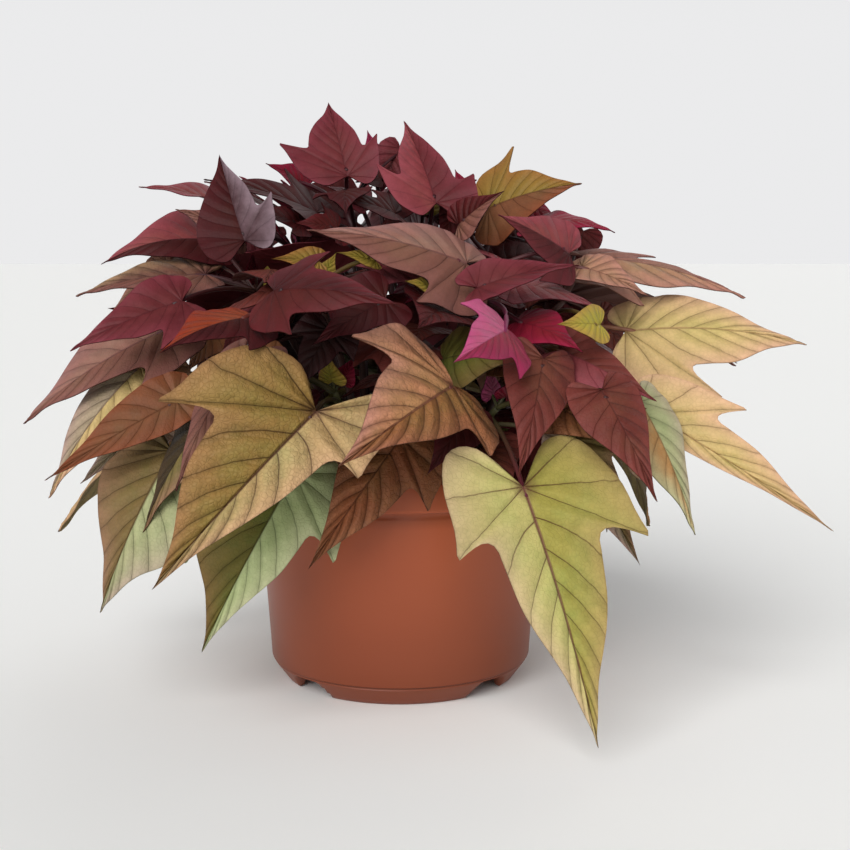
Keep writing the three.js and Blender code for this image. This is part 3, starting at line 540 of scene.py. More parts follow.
# each sum's name, its kind, and its terms, which are numbers or names of what was found
# before it; one marked "cut" is kept between 0 and 1
LEAF_SUMS = [
    ("across", "ABSOLUTE", "leaf_y"),
    ("out", "ABSOLUTE", "rib_y"),
    # how near a side vein is, in leaf lengths: they wander a little, and crowd in the fan
    ("sway", "MULTIPLY_ADD", "wander", 0.3, -0.15),
    ("turns", "MULTIPLY_ADD", "sway", "out", "rib_x"),
    ("between", "PINGPONG", "turns", 0.5),
    ("in_fan", "LESS_THAN", "turns", 0),
    ("fan_more", "MULTIPLY_ADD", "radius", 1.4 / FAN_VEINS, -0.8 * VEIN_SPACING),
    ("gap", "MULTIPLY_ADD", "fan_more", "in_fan", 0.8 * VEIN_SPACING),
    ("side_gap", "MULTIPLY", "between", "gap"),
    # half widths in leaf lengths: about half a millimetre on a hand-long leaf
    ("side_width", "MULTIPLY_ADD", "out", -0.0012, 0.0029),
    ("side_share", "DIVIDE", "side_gap", "side_width"),
    ("side_core", "SUBTRACT", 1, "side_share", "cut"),
    ("side_vein", "POWER", "side_core", 0.7),
    ("mid_width", "MULTIPLY_ADD", "along", -0.0082, 0.0108),
    ("mid_share", "DIVIDE", "across", "mid_width"),
    ("mid_core", "SUBTRACT", 1, "mid_share", "cut"),
    ("past_stalk", "GREATER_THAN", "along", 0),
    ("mid_kept", "MULTIPLY", "mid_core", "past_stalk"),
    ("mid_vein", "POWER", "mid_kept", 0.5),
    ("vein", "MAXIMUM", "side_vein", "mid_vein"),
    # only a puckered skin shows its cross veins
    ("pucker", "ABSOLUTE", "swell"),
    ("puckered", "MULTIPLY_ADD", "pucker", 0.8, -0.72, "cut"),
    ("cell_core", "MULTIPLY_ADD", "cells", -6, 1, "cut"),
    ("cell_line", "MULTIPLY", "cell_core", "puckered"),
    ("net_line", "MULTIPLY_ADD", "net", -8, 1, "cut"),
    # how far the skin has turned to its edge's colour: outwards, to the tip and in specks
    ("outer", "POWER", "out", 2.2),
    ("tipwards", "MULTIPLY_ADD", "along", 0.7, -0.35, "cut"),
    ("turned", "MULTIPLY_ADD", "outer", 0.85, "tipwards"),
    ("specks", "MULTIPLY_ADD", "mottle", 0.5, -0.25),
    ("fade", "ADD", "turned", "specks", "cut"),
    # painted shade: the floor of each furrow is darker than the pillows between them
    ("near_furrow", "MULTIPLY_ADD", "side_gap", -42, 1, "cut"),
    ("furrow", "MULTIPLY", "near_furrow", "pucker"),
    ("tone_skin", "MULTIPLY_ADD", "mottle", 0.5, 0.7),
    ("tone_furrow_shade", "MULTIPLY_ADD", "furrow", -0.11, "tone_skin"),
    ("tone_cells", "MULTIPLY_ADD", "cell_line", -0.06, "tone_furrow_shade"),
    ("tone", "MULTIPLY_ADD", "net_line", -0.06, "tone_cells"),
    # purple at the stalk, veins that pale outwards, and a fine line round the margin
    ("stain", "MULTIPLY_ADD", "radius", -11.2, 0.8, "cut"),
    ("side_paling", "MULTIPLY_ADD", "out", -0.55, 1),
    ("paling", "MULTIPLY_ADD", "radius", -0.6, 0.95),
    ("side_paled", "MULTIPLY", "side_vein", "side_paling"),
    ("side_tint", "MULTIPLY", "side_paled", "paling"),
    ("mid_paling", "MULTIPLY_ADD", "along", -0.2, 1),
    ("mid_tint", "MULTIPLY", "mid_vein", "mid_paling"),
    ("vein_paled", "MAXIMUM", "side_tint", "mid_tint"),
    ("marked", "MAXIMUM", "vein_paled", "stain"),
    ("vein_tint", "MULTIPLY", "marked", "vein_share", "cut"),
    ("margin", "MULTIPLY_ADD", "out", 33.3, -32.2, "cut"),
    ("margin_tint", "MULTIPLY", "margin", 0.22),
    ("tint", "MAXIMUM", "vein_tint", "margin_tint"),
    # pillows rise steeply from the sunk veins
    ("slope", "MULTIPLY", "side_gap", 18, "cut"),
    ("pillow", "SQRT", "slope"),
    ("relief_vein", "MULTIPLY_ADD", "vein", -0.4, "pillow"),
    ("relief_cells", "MULTIPLY_ADD", "cell_line", -0.18, "relief_vein"),
    ("relief_net", "MULTIPLY_ADD", "net_line", -0.12, "relief_cells"),
    ("relief", "MULTIPLY", "relief_net", "swell"),
]
for result, operation, *terms in LEAF_SUMS:
    cut = terms[-1] == "cut"
    links = {i: found.get(term, term) for i, term in enumerate(terms) if term != "cut"}
    sum_node = put(tree, "ShaderNodeMath", links, operation=operation, use_clamp=cut)
    found[result] = sum_node.outputs["Value"]
patchy = put(tree, "ShaderNodeMapRange", {
    "Value": blotch.outputs["Fac"], "From Min": 0.44, "From Max": 0.62, "To Max": 0.6})
patched = put(tree, "ShaderNodeMix", {
    0: patchy.outputs["Result"], 6: skin_colour.outputs["Color"],
    7: patch_colour.outputs["Color"]}, data_type="RGBA")
faded = put(tree, "ShaderNodeMix", {
    0: found["fade"], 6: patched.outputs[2], 7: edge_colour.outputs["Color"]}, data_type="RGBA")
toned = put(tree, "ShaderNodeVectorMath", {
    0: faded.outputs[2], "Scale": found["tone"]}, operation="SCALE")
veined = put(tree, "ShaderNodeMix", {
    0: found["tint"], 6: toned.outputs["Vector"], 7: vein_colour.outputs["Color"]},
    data_type="RGBA")
bump = put(tree, "ShaderNodeBump", {"Height": found["relief"], "Strength": 0.7, "Distance": 0.0011})
gloss = put(tree, "ShaderNodeMapRange", {
    "Value": mottle.outputs["Fac"], "To Min": 0.46, "To Max": 0.62})
skin = put(tree, "ShaderNodeBsdfPrincipled", {
    "Base Color": veined.outputs[2], "Roughness": gloss.outputs["Result"],
    "Normal": bump.outputs["Normal"], "IOR": 1.4, "Specular IOR Level": 0.25})
put(tree, "ShaderNodeOutputMaterial", {"Surface": skin.outputs["BSDF"]})

# ---- stems and leaf stalks ----
# Round green stems flushed with purple, rooted in the mix, each with a stalk to every
# leaf, which swells a little at both ends. Each is a plain rod, bent and tapered.
STEM_RADIUS = 2.1
STALK_RADIUS, CAD_STALK_RADIUS = 1.1, 1.15
CAD_MATCH = 0.05
# how far a stalk runs in under its blade, hangs below it there, and runs on
STALK_UNDER_BLADE, STALK_DROP, STALK_OVERRUN = 4, 0.8, 1.1
# the ways that a stalk may go: where it leaves its stem, and how far up and aside it bends
STALK_PLACES = [0, -0.15, 0.15, -0.3]
STALK_LIFTS = [0, 10, -10, 20]
STALK_ASIDES = [0, 8, -8, 16, -16]
STALK_ROUTES = [
    (at, lift, aside) for at in STALK_PLACES for lift in STALK_LIFTS for aside in STALK_ASIDES]

# Green rind flushed with purple: smooth and a little shiny, with fine streaks.
green_stem, tree = new_material("green stem flushed with purple")
place = put(tree, "ShaderNodeTexCoord").outputs["Object"]
streaks = put(tree, "ShaderNodeTexNoise", {"Vector": place, "Scale": 300, "Detail": 4})
colour = put(tree, "ShaderNodeAttribute", attribute_name="skin_colour")
tone = put(tree, "ShaderNodeMapRange", {
    "Value": streaks.outputs["Fac"], "To Min": 0.7, "To Max": 1.25})
toned = put(tree, "ShaderNodeVectorMath", {
    0: colour.outputs["Color"], "Scale": tone.outputs["Result"]}, operation="SCALE")
bump = put(tree, "ShaderNodeBump", {
    "Height": streaks.outputs["Fac"], "Strength": 0.3, "Distance": 0.0004})
skin = put(tree, "ShaderNodeBsdfPrincipled", {
    "Base Color": toned.outputs["Vector"], "Roughness": 0.45, "Normal": bump.outputs["Normal"],
    "IOR": 1.4})
put(tree, "ShaderNodeOutputMaterial", {"Surface": skin.outputs["BSDF"]})


def rod_template(sides, rings):
    """A unit rod, from z = 0 to 1, to be bent along a stem or a stalk."""
    bm = bmesh.new()
    bmesh.ops.create_cone(bm, cap_ends=True, segments=sides, radius1=1, radius2=1, depth=1,
                          matrix=Matrix.Translation((0, 0, 0.5)))
    uprights = [edge for edge in bm.edges if abs(edge.verts[0].co.z - edge.verts[1].co.z) > 0.5]
    bmesh.ops.subdivide_edges(bm, edges=uprights, cuts=rings)
    return take_mesh(bm, "rod")


def bezier(points, s):
    """A point of the curve that leaves its start towards the bend and comes from there."""
    start, bend, end = points
    return (1 - s)**2 * start + 2 * s * (1 - s) * bend + s**2 * end


def rod_mesh(template, path, radius, first, last):
    """A rod bent along a path, with its thickness and its end colours."""
    mesh = template.copy()
    colours = [Vector(first).lerp(Vector(last), vert.co.z) for vert in mesh.vertices]
    for vert in mesh.vertices:
        s = vert.co.z
        here, ahead = path(s), path(min(s + 0.01, 1)) - path(min(s, 0.99))
        across = Vector((0, 1, 0.3)).cross(ahead).normalized()
        around = ahead.normalized().cross(across)
        vert.co = here + radius(s) * (vert.co.x * across + vert.co.y * around)
    layer = mesh.color_attributes.new("skin_colour", "FLOAT_COLOR", "POINT")
    layer.data.foreach_set("color", np.array(colours).ravel())
    mesh.materials.append(green_stem)
    return mesh


def stalk_points(vine, leaf, axes, route):
    """Out of the stem, over, and a little way under the blade."""
    at, lift, aside = route
    start = bezier(vine["arch"], min(1, leaf["at"] + at))
    under = np.array([[STALK_UNDER_BLADE / axes["length"], 0, 0]])
    end = Vector(on_blade(leaf, axes, under, -STALK_DROP)[0])
    reach = end - start
    sideways = Vector((-reach.y, reach.x, 0)).normalized()
    bend = start.lerp(end, 0.5) + Vector((0, 0, 0.15 * reach.length + lift)) + aside * sideways
    end = end + STALK_OVERRUN * (end - bend).normalized()
    return start, bend, end


def middle(points):
    """The point half way along a bent stalk, by length."""
    steps = np.linspace(0, 1, 201)
    line = np.array([bezier(points, s) for s in steps])
    run = np.concatenate([[0], np.cumsum(np.linalg.norm(np.diff(line, axis=0), axis=1))])
    return Vector(bezier(points, np.interp(run[-1] / 2, run, steps)))


def find_axes(leaf, known):
    """Where the solid leaf hangs: the first place whose tip is on the solid's own."""
    for place in leaf["places"]:
        axes = leaf_axes(leaf, place)
        tips = [axes["tip"] + lift * axes["up"] for lift in (-CAD_THICKNESS / 2, CAD_THICKNESS / 2)]
        if all(known.find(tip)[2] < CAD_MATCH for tip in tips):
            return axes
    return None


def find_stalk(vine, leaf, axes, known):
    """The way that the solid stalk goes: the route whose middle has a ring round it."""
    for route in STALK_ROUTES:
        points = stalk_points(vine, leaf, axes, route)
        ring = known.find_range(middle(points), CAD_STALK_RADIUS + CAD_MATCH)
        corners = {tuple(round(c, 1) for c in co)
                   for co, _, gap in ring if gap > CAD_STALK_RADIUS - CAD_MATCH}
        if len(corners) >= 3:
            return points
    return stalk_points(vine, leaf, axes, STALK_ROUTES[0])


# ---- leafy stems ----
# Twenty-nine stems, each with its own stalks and blades. The front ones hang leaf by
# leaf: where the stalk meets the blade, its tip, [roll, fold, curl], width and sweep
# of the left and the right half, their forms, the place on the stem, and the sorts.
FRONT_VINES = {
    "vine_low_1": ((30, -38), (48, -68, 150), [
        ((57, -118, 120), (88, -150, 11), (-8, 0.1, 0.05), (0.78, -0.2), (0.88, 0.05),
         "LL", 0.9, "citron/chartreuse"),
        ((70, -90, 156), (99, -110, 136), (0, -0.2, 0.08), (1, 0), (1, 0), "PP", 1, "umber"),
        ((84, -85, 137), (113, -100, 80), (30, 0.2, 0.05), (0.7, 0), (0.7, 0),
         "PL", 0.8, "putty/loam"),
    ]),
    "vine_low_2": ((-22, -44), (-30, -70, 158), [
        ((-35, -118, 154), (-103, -150, 81), (0, 0.1, 0.05), (1.15, 0.25), (0.75, -0.5),
         "LL", 0.9, "olive/tan"),
        ((2, -92, 139), (-40, -112, 81), (0, -0.25, 0.08), (0.75, 0), (0.9, 0), "PL", 0.7, "umber"),
        ((-70, -88, 176), (-98, -118, 118), (20, -0.2, 0.06), (0.8, 0), (0.8, 0), "LP", 1, "cocoa"),
    ]),
    "vine_low_3": ((2, -30), (14, -62, 170), [
        ((26, -105, 164), (-23, -165, 136), (0, -0.15, 0.12), (1.2, 0.1), (0.95, -0.4),
         "LL", 1, "copper/bronze"),
        ((67, -100, 176), (54, -128, 126), (0, -0.2, 0.06), (0.8, 0), (0.8, 0),
         "PP", 0.8, "russet"),
        ((34, -80, 150), (14, -98, 122), (0, -0.1, 0.06), (1, 0), (1, 0), "PP", 0.6, "oxblood"),
    ]),
    "vine_low_4": ((-44, -26), (-68, -48, 148), [
        ((-47, -92, 122), (-88, -118, 44), (0, -0.12, 0.06), (1.05, 0.5), (0.85, 0.1),
         "PL", 0.6, "moss/celadon"),
        ((-109, -68, 129), (-139, -95, 56), (0, -0.15, 0.06), (1, 0.3), (1.25, 0.45),
         "PP", 0.8, "loam/sage"),
        ((-88, -70, 150), (-120, -85, 92), (25, -0.15, 0.06), (0.8, 0), (0.8, 0),
         "PP", 0.9, "peat/loam"),
    ]),
    "vine_low_5": ((-52, 0), (-86, -24, 156), [
        ((-129, -40, 168), (-170, -65, 105), (0, -0.15, 0.08), (0.85, 0), (0.85, 0),
         "LL", 1, "putty/straw"),
        ((-98, 6, 146), (-146, -4, 82), (55, -0.1, 0.06), (0.9, 0), (0.9, 0), "LP", 0.8, "olive"),
        ((-108, -58, 152), (-168, -78, 116), (0, 0.1, 0.04), (0.6, 0), (0.5, 0), "PP", 0.9, "fawn"),
        ((-126, -25, 138), (-161, -40, 108), (0, 0.1, 0.04), (0.9, 0), (0.9, 0),
         "PP", 0.7, "putty"),
    ]),
    "vine_low_6": ((52, -14), (86, -40, 150), [
        ((120, -75, 148), (202, -100, 96), (10, 0.15, 0.05), (0.2, 0), (0.55, 0.35),
         "PL", 1, "straw"),
        ((100, -12, 160), (148, -24, 104), (-40, -0.1, 0.06), (0.9, 0), (0.9, 0), "PL", 0.8, "tan"),
        ((118, -60, 152), (141, -85, 91), (-15, 0.1, 0.05), (1.1, 0.1), (0.6, 0),
         "PP", 0.9, "turning/sage"),
        ((96, -84, 160), (118, -112, 112), (0, -0.2, 0.05), (0.8, 0), (0.8, 0),
         "PP", 0.8, "russet"),
    ]),
    "vine_mid_1": ((-34, 8), (-74, -14, 204), [
        ((-116, -40, 186), (-185, -52, 140), (20, -0.15, 0.06), (1.3, 0.1), (0.75, 0),
         "PL", 0.9, "mauve/cocoa"),
        ((-104, -60, 201), (-154, -78, 178), (10, 0.1, 0.05), (0.85, 0), (1.05, 0.2),
         "PL", 1, "burgundy"),
        ((-99, -20, 213), (-163, -30, 202), (28, 0.1, 0.06), (1, 0), (1, 0.2),
         "LL", 1, "smoke/cocoa"),
        ((-98, 12, 231), (-157, 0, 218), (5, -0.1, 0.12), (1.1, 0.2), (0.8, 0),
         "PP", 1, "rose/oxblood"),
        ((-123, -12, 191), (-149, -22, 196), (0, 0.1, 0.05), (0.8, 0), (0.8, 0), "PP", 0.8, "wine"),
    ]),
    "vine_mid_2": ((-20, -20), (-40, -58, 206), [
        ((-66, -100, 195), (-101, -130, 181), (20, -0.3, 0.08), (1.1, 0.3), (0.8, 0),
         "PL", 0.9, "rust/oxblood"),
        ((-55, -100, 207), (2, -122, 201), (-20, -0.3, 0.08), (0.8, 0), (1, 0),
         "LL", 1, "wine/garnet"),
        ((-5, -88, 202), (-38, -102, 182), (0, 0.1, 0.06), (1, 0), (1, 0), "LL", 0.9, "oxblood"),
        ((-37, -70, 220), (-59, -75, 221), (0, 0.2, 0.05), (0.8, 0), (0.8, 0), "PP", 1, "gold"),
        ((-10, -70, 220), (-28, -75, 224), (0, 0.2, 0.05), (0.7, 0), (0.7, 0), "PP", 1, "lime"),
        ((-31, -84, 188), (-46, -98, 160), (0, 0, 0.06), (1.1, 0), (1.1, 0), "LL", 0.7, "soot"),
    ]),
    "vine_mid_3": ((22, -16), (36, -52, 210), [
        ((33, -65, 219), (-42, -80, 234), (20, -0.2, 0.06), (0.85, 0), (0.95, 0.1),
         "PL", 1, "mauve/cocoa"),
        ((50, -112, 190), (25, -150, 178), (0, -0.2, 0.08), (1, 0), (1, 0),
         "LL", 0.9, "magenta/cerise"),
        ((56, -82, 192), (83, -116, 180), (0, -0.2, 0.08), (0.9, 0), (1, 0), "PP", 0.9, "crimson"),
        ((37, -90, 208), (85, -80, 218), (-30, 0.2, 0.05), (0.7, 0), (0.7, 0), "PP", 1, "burgundy"),
        ((84, -46, 224), (48, -60, 242), (0, -0.1, 0.05), (1.1, 0), (1.1, 0),
         "PL", 1, "rose/garnet"),
        ((20, -75, 206), (4, -92, 211), (0, 0.1, 0.05), (0.9, 0), (0.9, 0), "PP", 1, "lime"),
    ]),
    "vine_mid_4": ((40, 2), (84, -22, 200), [
        ((95, -15, 222), (176, -25, 201), (-28, -0.1, 0.06), (0.95, 0.3), (0.4, 0.8),
         "LL", 1, "clay/mauve"),
        ((114, -35, 185), (201, -50, 179), (-15, -0.12, 0.08), (1, 0.6), (0.75, 0.3),
         "LP", 0.8, "straw"),
        ((91, -40, 217), (120, -66, 203), (0, 0.1, 0.05), (0.8, 0), (0.8, 0), "PP", 1, "clay"),
        ((76, -85, 179), (118, -106, 157), (0, -0.15, 0.05), (0.8, 0), (0.9, 0),
         "PL", 0.8, "rose/russet"),
        ((94, -90, 191), (72, -108, 192), (0, 0.1, 0.05), (0.9, 0), (0.9, 0), "PP", 0.9, "lime"),
        ((137, -5, 184), (176, -12, 167), (0, 0, 0.05), (0.7, 0), (0.7, 0), "PP", 0.7, "oxblood"),
    ]),
    "vine_top_1": ((-22, -2), (-56, -6, 226), [
        ((-75, -45, 230), (-92, -12, 274), (0, 0.3, 0.05), (0.8, 0), (1, 0),
         "LP", 1, "dusk/oxblood"),
        ((-91, 0, 249), (-132, -20, 257), (30, 0.15, 0.05), (1, 0), (1.45, 0), "PL", 1, "rose"),
        ((-79, -25, 232), (-114, -18, 246), (20, 0.15, 0.05), (1, 0), (1, 0), "LP", 0.9, "cocoa"),
        ((-49, -30, 238), (-74, -40, 244), (20, 0.1, 0.06), (1.1, 0), (1.1, 0),
         "PL", 0.9, "oxblood"),
    ]),
    "vine_top_2": ((0, 0), (-28, 2, 246), [
        ((-26, -15, 263), (-38, 15, 303), (0, 0.15, 0.05), (0.85, 0.2), (1.3, 0.45),
         "LL", 1, "burgundy"),
        ((-51, 20, 260), (-71, 10, 271), (0, 0.2, 0.05), (1.2, 0), (1.2, 0), "PP", 1, "crimson"),
        ((-30, -40, 236), (-50, -54, 238), (0, 0.1, 0.05), (1.2, 0), (1.2, 0), "LL", 0.9, "wine"),
        ((-27, -20, 256), (-25, -54, 242), (0, -0.1, 0.08), (1, 0), (1, 0), "LP", 0.9, "oxblood"),
    ]),
    "vine_top_3": ((14, 12), (16, -6, 240), [
        ((19, -25, 249), (2, 10, 293), (0, 0.25, 0.05), (0.85, -0.3), (0.95, 0.3),
         "LL", 1, "burgundy/rose"),
        ((37, 0, 246), (29, 12, 268), (0, 0.1, 0.05), (1.2, 0), (1.2, 0), "PP", 1, "crimson"),
        ((-2, -24, 244), (-34, -38, 250), (20, 0.1, 0.06), (1, 0), (1, 0), "LP", 0.9, "oxblood"),
    ]),
    "vine_top_4": ((30, -4), (48, -2, 238), [
        ((46, -5, 247), (93, -18, 259), (0, 0.1, 0.06), (1.4, 0), (1.3, 0.15),
         "PL", 1, "fawn/gold"),
        ((70, -20, 240), (108, -34, 234), (-25, -0.1, 0.08), (1, 0), (1, 0), "LP", 1, "crimson"),
        ((30, -30, 238), (52, -44, 254), (0, 0.1, 0.05), (1, 0), (1, 0), "PP", 0.9, "cocoa/wine"),
    ]),
    "vine_top_8": ((-10, 24), (-14, 24, 222), [
        ((-62, 36, 246), (-46, 30, 214), (0, 0.1, 0.06), (1.3, 0), (1.3, 0), "SS", 1, "oxblood"),
        ((-30, 24, 252), (-64, 26, 256), (0, 0.1, 0.06), (1.3, 0), (1.3, 0), "SS", 1, "wine"),
        ((-62, 22, 186), (-56, 16, 144), (0, -0.1, 0.06), (1.1, 0), (1.1, 0), "SS", 0.6, "soot"),
    ]),
    "vine_low_11": ((28, 26), (34, 28, 170), [
        ((24, 14, 190), (32, 22, 146), (0, 0, 0.06), (1.1, 0), (1.1, 0), "SS", 1, "rose"),
        ((48, 20, 178), (46, 28, 134), (0, 0, 0.06), (1.1, 0), (1.1, 0), "SS", 0.9, "clay"),
        ((84, 6, 140), (94, 8, 94), (0, 0, 0.06), (0.9, 0), (0.9, 0), "SS", 0.8, "cocoa"),
        ((84, 22, 150), (100, 34, 100), (0, 0, 0.06), (1, 0), (1, 0), "SS", 0.7, "moss"),
    ]),
}

# The others stand by a rule: for each ring, radius and height of the stalk's end and of
# the tip, in how many rows, the share of lobed halves, foot and top of the stem, and the
# sorts. Each vine has a ring, an azimuth, a sector that it fills, and its leaves' number.
RINGS = {
    "low": ((108, 138), (170, 54), 2, 0.45, 46, (76, 152),
            ["tan", "sage", "olive", "putty", "bronze", "straw"]),
    "mid": ((98, 194), (184, 152), 2, 0.6, 30, (62, 200),
            ["mauve", "copper", "burgundy", "russet", "rose"]),
    "high": ((66, 236), (132, 252), 2, 0.7, 27, (40, 232), ["burgundy", "rose", "wine", "crimson"]),
    "crown": ((22, 240), (74, 252), 2, 0.7, 12, (4, 232), ["wine", "oxblood", "crimson"]),
    "inner": ((62, 186), (100, 158), 2, 0.5, 8, (14, 180), ["wine", "russet"]),
    "shade": ((44, 216), (90, 222), 3, 0, 20, (22, 206), ["burgundy", "wine", "rose"]),
}
BACK_VINES = {
    "vine_low_7": ("low", 32, 46, 4), "vine_low_8": ("low", 78, 46, 4),
    "vine_low_9": ("low", 122, 46, 4), "vine_low_10": ("low", 154, 36, 4),
    "vine_mid_5": ("mid", 30, 52, 4), "vine_mid_6": ("mid", 87, 56, 4),
    "vine_mid_7": ("mid", 146, 52, 4), "vine_top_5": ("high", 50, 80, 4),
    "vine_top_6": ("high", 132, 80, 4), "vine_top_7": ("crown", 75, 330, 5),
    "vine_mid_8": ("inner", -95, 160, 4), "vine_mid_9": ("shade", 70, 180, 6),
    "vine_mid_10": ("shade", 165, 110, 4),
}
# the places that a leaf may take, nearest first: (slide, swing, rise)
SLIDES = [0, 3, -3, 6, -6, 9, -9, 12, -12, 16, -16, 20, -20, 24, -24, 30, -30]
FRONT_PLACES = [(slide, 0, 0) for slide in SLIDES]
BACK_PLACES = [
    (slide, swing, rise) for slide in (0, 6, -6, 12, -12, 18, -18, 26, -26)
    for rise in (0, 10, -10) for swing in (0, 8, -8, 16, -16)]
draw_state = 7


def draw(low, high):
    """The next number of one fixed row that looks random."""
    global draw_state
    draw_state = (draw_state * 1664525 + 1013904223) % 4294967296
    return low + (high - low) * draw_state / 4294967296


def on_circle(degrees, radius, z):
    """A point round the pot's axis."""
    turn = math.radians(degrees)
    return Vector((radius * math.cos(turn), radius * math.sin(turn), z))


def front_leaf(row):
    """A leaf that is set one by one, from its row."""
    base, tip, (roll, fold, curl), left, right, form, at, sort = row
    sorts = sort.split("/")
    return {"base": Vector(base), "tip": Vector(tip), "roll": roll, "fold": fold, "curl": curl,
            "left": left, "right": right, "form": form, "at": at, "far": FAR_POINT,
            "places": FRONT_PLACES, "sorts": [sorts[0], sorts[-1]]}


def back_leaf(ring, azimuth, sector, leaves, i):
    """A leaf that stands by the rule of its ring, the inner rows higher than the outer."""
    base, tip, rows, lobed, _, _, sorts = RINGS[ring]
    row = i % rows
    turn = azimuth + sector * ((i + 0.5) / leaves - 0.5) + draw(-4, 4)
    leaf = {"far": on_circle(turn, FAR, FAR_POINT.z), "places": BACK_PLACES, "at": 1 - 0.1 * i}
    leaf["base"] = on_circle(
        turn, base[0] - 14 * row + draw(-6, 6), base[1] + 12 * row + draw(-8, 8))
    leaf["tip"] = on_circle(
        turn + draw(-14, 14), tip[0] - 26 * row + draw(-12, 12), tip[1] + 16 * row + draw(-14, 14))
    leaf["roll"], leaf["fold"], leaf["curl"] = draw(-18, 18), draw(-0.25, 0.15), draw(0.05, 0.1)
    leaf["left"] = (draw(0.8, 1.05), draw(-0.1, 0.2))
    leaf["right"] = (draw(0.8, 1.05), draw(-0.1, 0.2))
    leaf["form"] = "SS"
    if lobed:
        leaf["form"] = "".join("L" if draw(0, 1) < lobed else "P" for _ in range(2))
    leaf["sorts"] = [sorts[(int(azimuth) + i) % len(sorts)]] * 2
    return leaf


def stem_arch(foot, top):
    """A stem's curve, which goes half its height straight up before it leans out."""
    ground, top = Vector((*foot, SOIL_TOP)), Vector(top)
    return ground, Vector((*foot, SOIL_TOP + 0.5 * (top.z - SOIL_TOP))), top


def stem_path(arch, s):
    """Along a stem: its foot goes up to the mix's surface, and then it follows its arch."""
    if s < STEM_FOOT:
        return arch[0] - Vector((0, 0, STEM_DEPTH - STEM_DEPTH / STEM_FOOT * s))
    return bezier(arch, (s - STEM_FOOT) / (1 - STEM_FOOT))


vines = {
    name: {"arch": stem_arch(foot, top), "leaves": [front_leaf(row) for row in rows]}
    for name, (foot, top, rows) in FRONT_VINES.items()}
for name, (ring, azimuth, sector, leaves) in BACK_VINES.items():
    foot, top = on_circle(azimuth, RINGS[ring][4], 0), on_circle(azimuth, *RINGS[ring][5])
    rows = [back_leaf(ring, azimuth, sector, leaves, i) for i in range(leaves)]
    vines[name] = {"arch": stem_arch(foot[:2], top), "leaves": rows}
for i, leaf in enumerate([leaf for vine in vines.values() for leaf in vine["leaves"]]):
    leaf["phase"] = 2.4 * i
    leaf["quilt"] = SORTS[leaf["sorts"][0]][6]

BLADES = {form: blade_template(form) for form in ("LL", "LP", "PL", "PP", "SS")}
STEM = rod_template(12, 18)
STALK = rod_template(9, 12)
STEM_COLOUR = {"low": "#4c4a2a", "mid": "#472a24", "top": "#3e191e"}
# the share of a stem's rod that is in the mix, and how deep it goes
STEM_FOOT, STEM_DEPTH = 0.1, 4

# Small dark leaves along each stem fill the shade inside the bush. These say how far up
# the stem each sits, how far out its stalk reaches, how long its blade is, how often it
# is tried, and how far from the pot's axis its tip and how high its base may be.
SPRIG_PLACES = [0.3, 0.42, 0.54, 0.64, 0.74, 0.83, 0.91, 0.97, 1]
SPRIG_REACH, SPRIG_LENGTH, SPRIG_TRIES = (20, 40), (34, 50), 14
SPRIG_LIMIT, SPRIG_CEILING = {"low": 132, "mid": 118, "top": 92}, 256
SPRIG_STALK_RADIUS = 0.8
GOLDEN_ANGLE = 137.5
SPRIG_SORTS = {
    "low": ["umber", "wine", "russet", "moss"], "mid": ["burgundy", "wine", "russet", "rose"],
    "top": ["burgundy", "crimson", "wine", "rose"]}
SHOOT_SORTS = ["crimson", "magenta", "lime"]
# More small leaves, set one by one where a gap would let the far side show: base, tip, sort.
YOUNG_LEAVES = {
    "vine_low_5": [
        ((-92, -18, 186), (-110, -20, 162), "umber"), ((-94, -2, 182), (-108, -4, 156), "russet"),
        ((-78, -2, 192), (-94, -4, 170), "wine")],
    "vine_mid_1": [
        ((-120, 0, 214), (-152, -4, 192), "clay"), ((-100, 4, 222), (-124, 0, 204), "wine")],
    "vine_mid_3": [
        ((12, -22, 206), (8, -20, 178), "wine"), ((72, -4, 214), (60, -8, 190), "russet"),
        ((78, -14, 190), (66, -18, 166), "umber"), ((92, -16, 188), (72, -18, 166), "wine")],
    "vine_mid_4": [
        ((104, -12, 192), (118, -10, 166), "russet"), ((98, 14, 236), (88, 12, 210), "wine")],
    "vine_top_1": [
        ((-90, 28, 240), (-66, 28, 218), "burgundy"), ((-72, 40, 238), (-84, 42, 214), "wine")],
    "vine_top_2": [
        ((0, 22, 280), (-12, 22, 254), "burgundy"), ((-12, 26, 266), (-18, 28, 290), "cerise")],
    "vine_top_3": [((18, 14, 256), (32, 14, 228), "wine")],
    "vine_top_4": [
        ((62, 8, 252), (86, 10, 238), "crimson"), ((34, 22, 252), (20, 22, 228), "wine")],
    "vine_top_8": [((-50, 30, 236), (-44, 30, 212), "burgundy")],
}
SPRIG_BLADE = blade_template("SS", 16, 4)
SPRIG_STALK = rod_template(5, 5)


def small_leaf(base, tip, far, sort):
    """A young leaf of one sort, broad and without lobes."""
    return {"base": base, "tip": tip, "far": far, "roll": 0, "fold": -0.1, "curl": 0.07,
            "left": (1.2, 0), "right": (1.2, 0), "phase": 0.1 * base.x,
            "sorts": [sort, sort], "quilt": 1.2}


def draw_sprig(start, turn, sort):
    """A small leaf on a stem, its blade's place drawn at random about one side."""
    base = start + on_circle(turn, draw(*SPRIG_REACH), draw(2, 16))
    tip = base + on_circle(turn + draw(-30, 30), draw(*SPRIG_LENGTH), draw(-26, 4))
    leaf = small_leaf(base, tip, on_circle(turn, FAR, 2 * FAR_POINT.z), sort)
    leaf.update(roll=draw(-15, 15), fold=draw(-0.3, 0.1), phase=draw(0, 6))
    return leaf


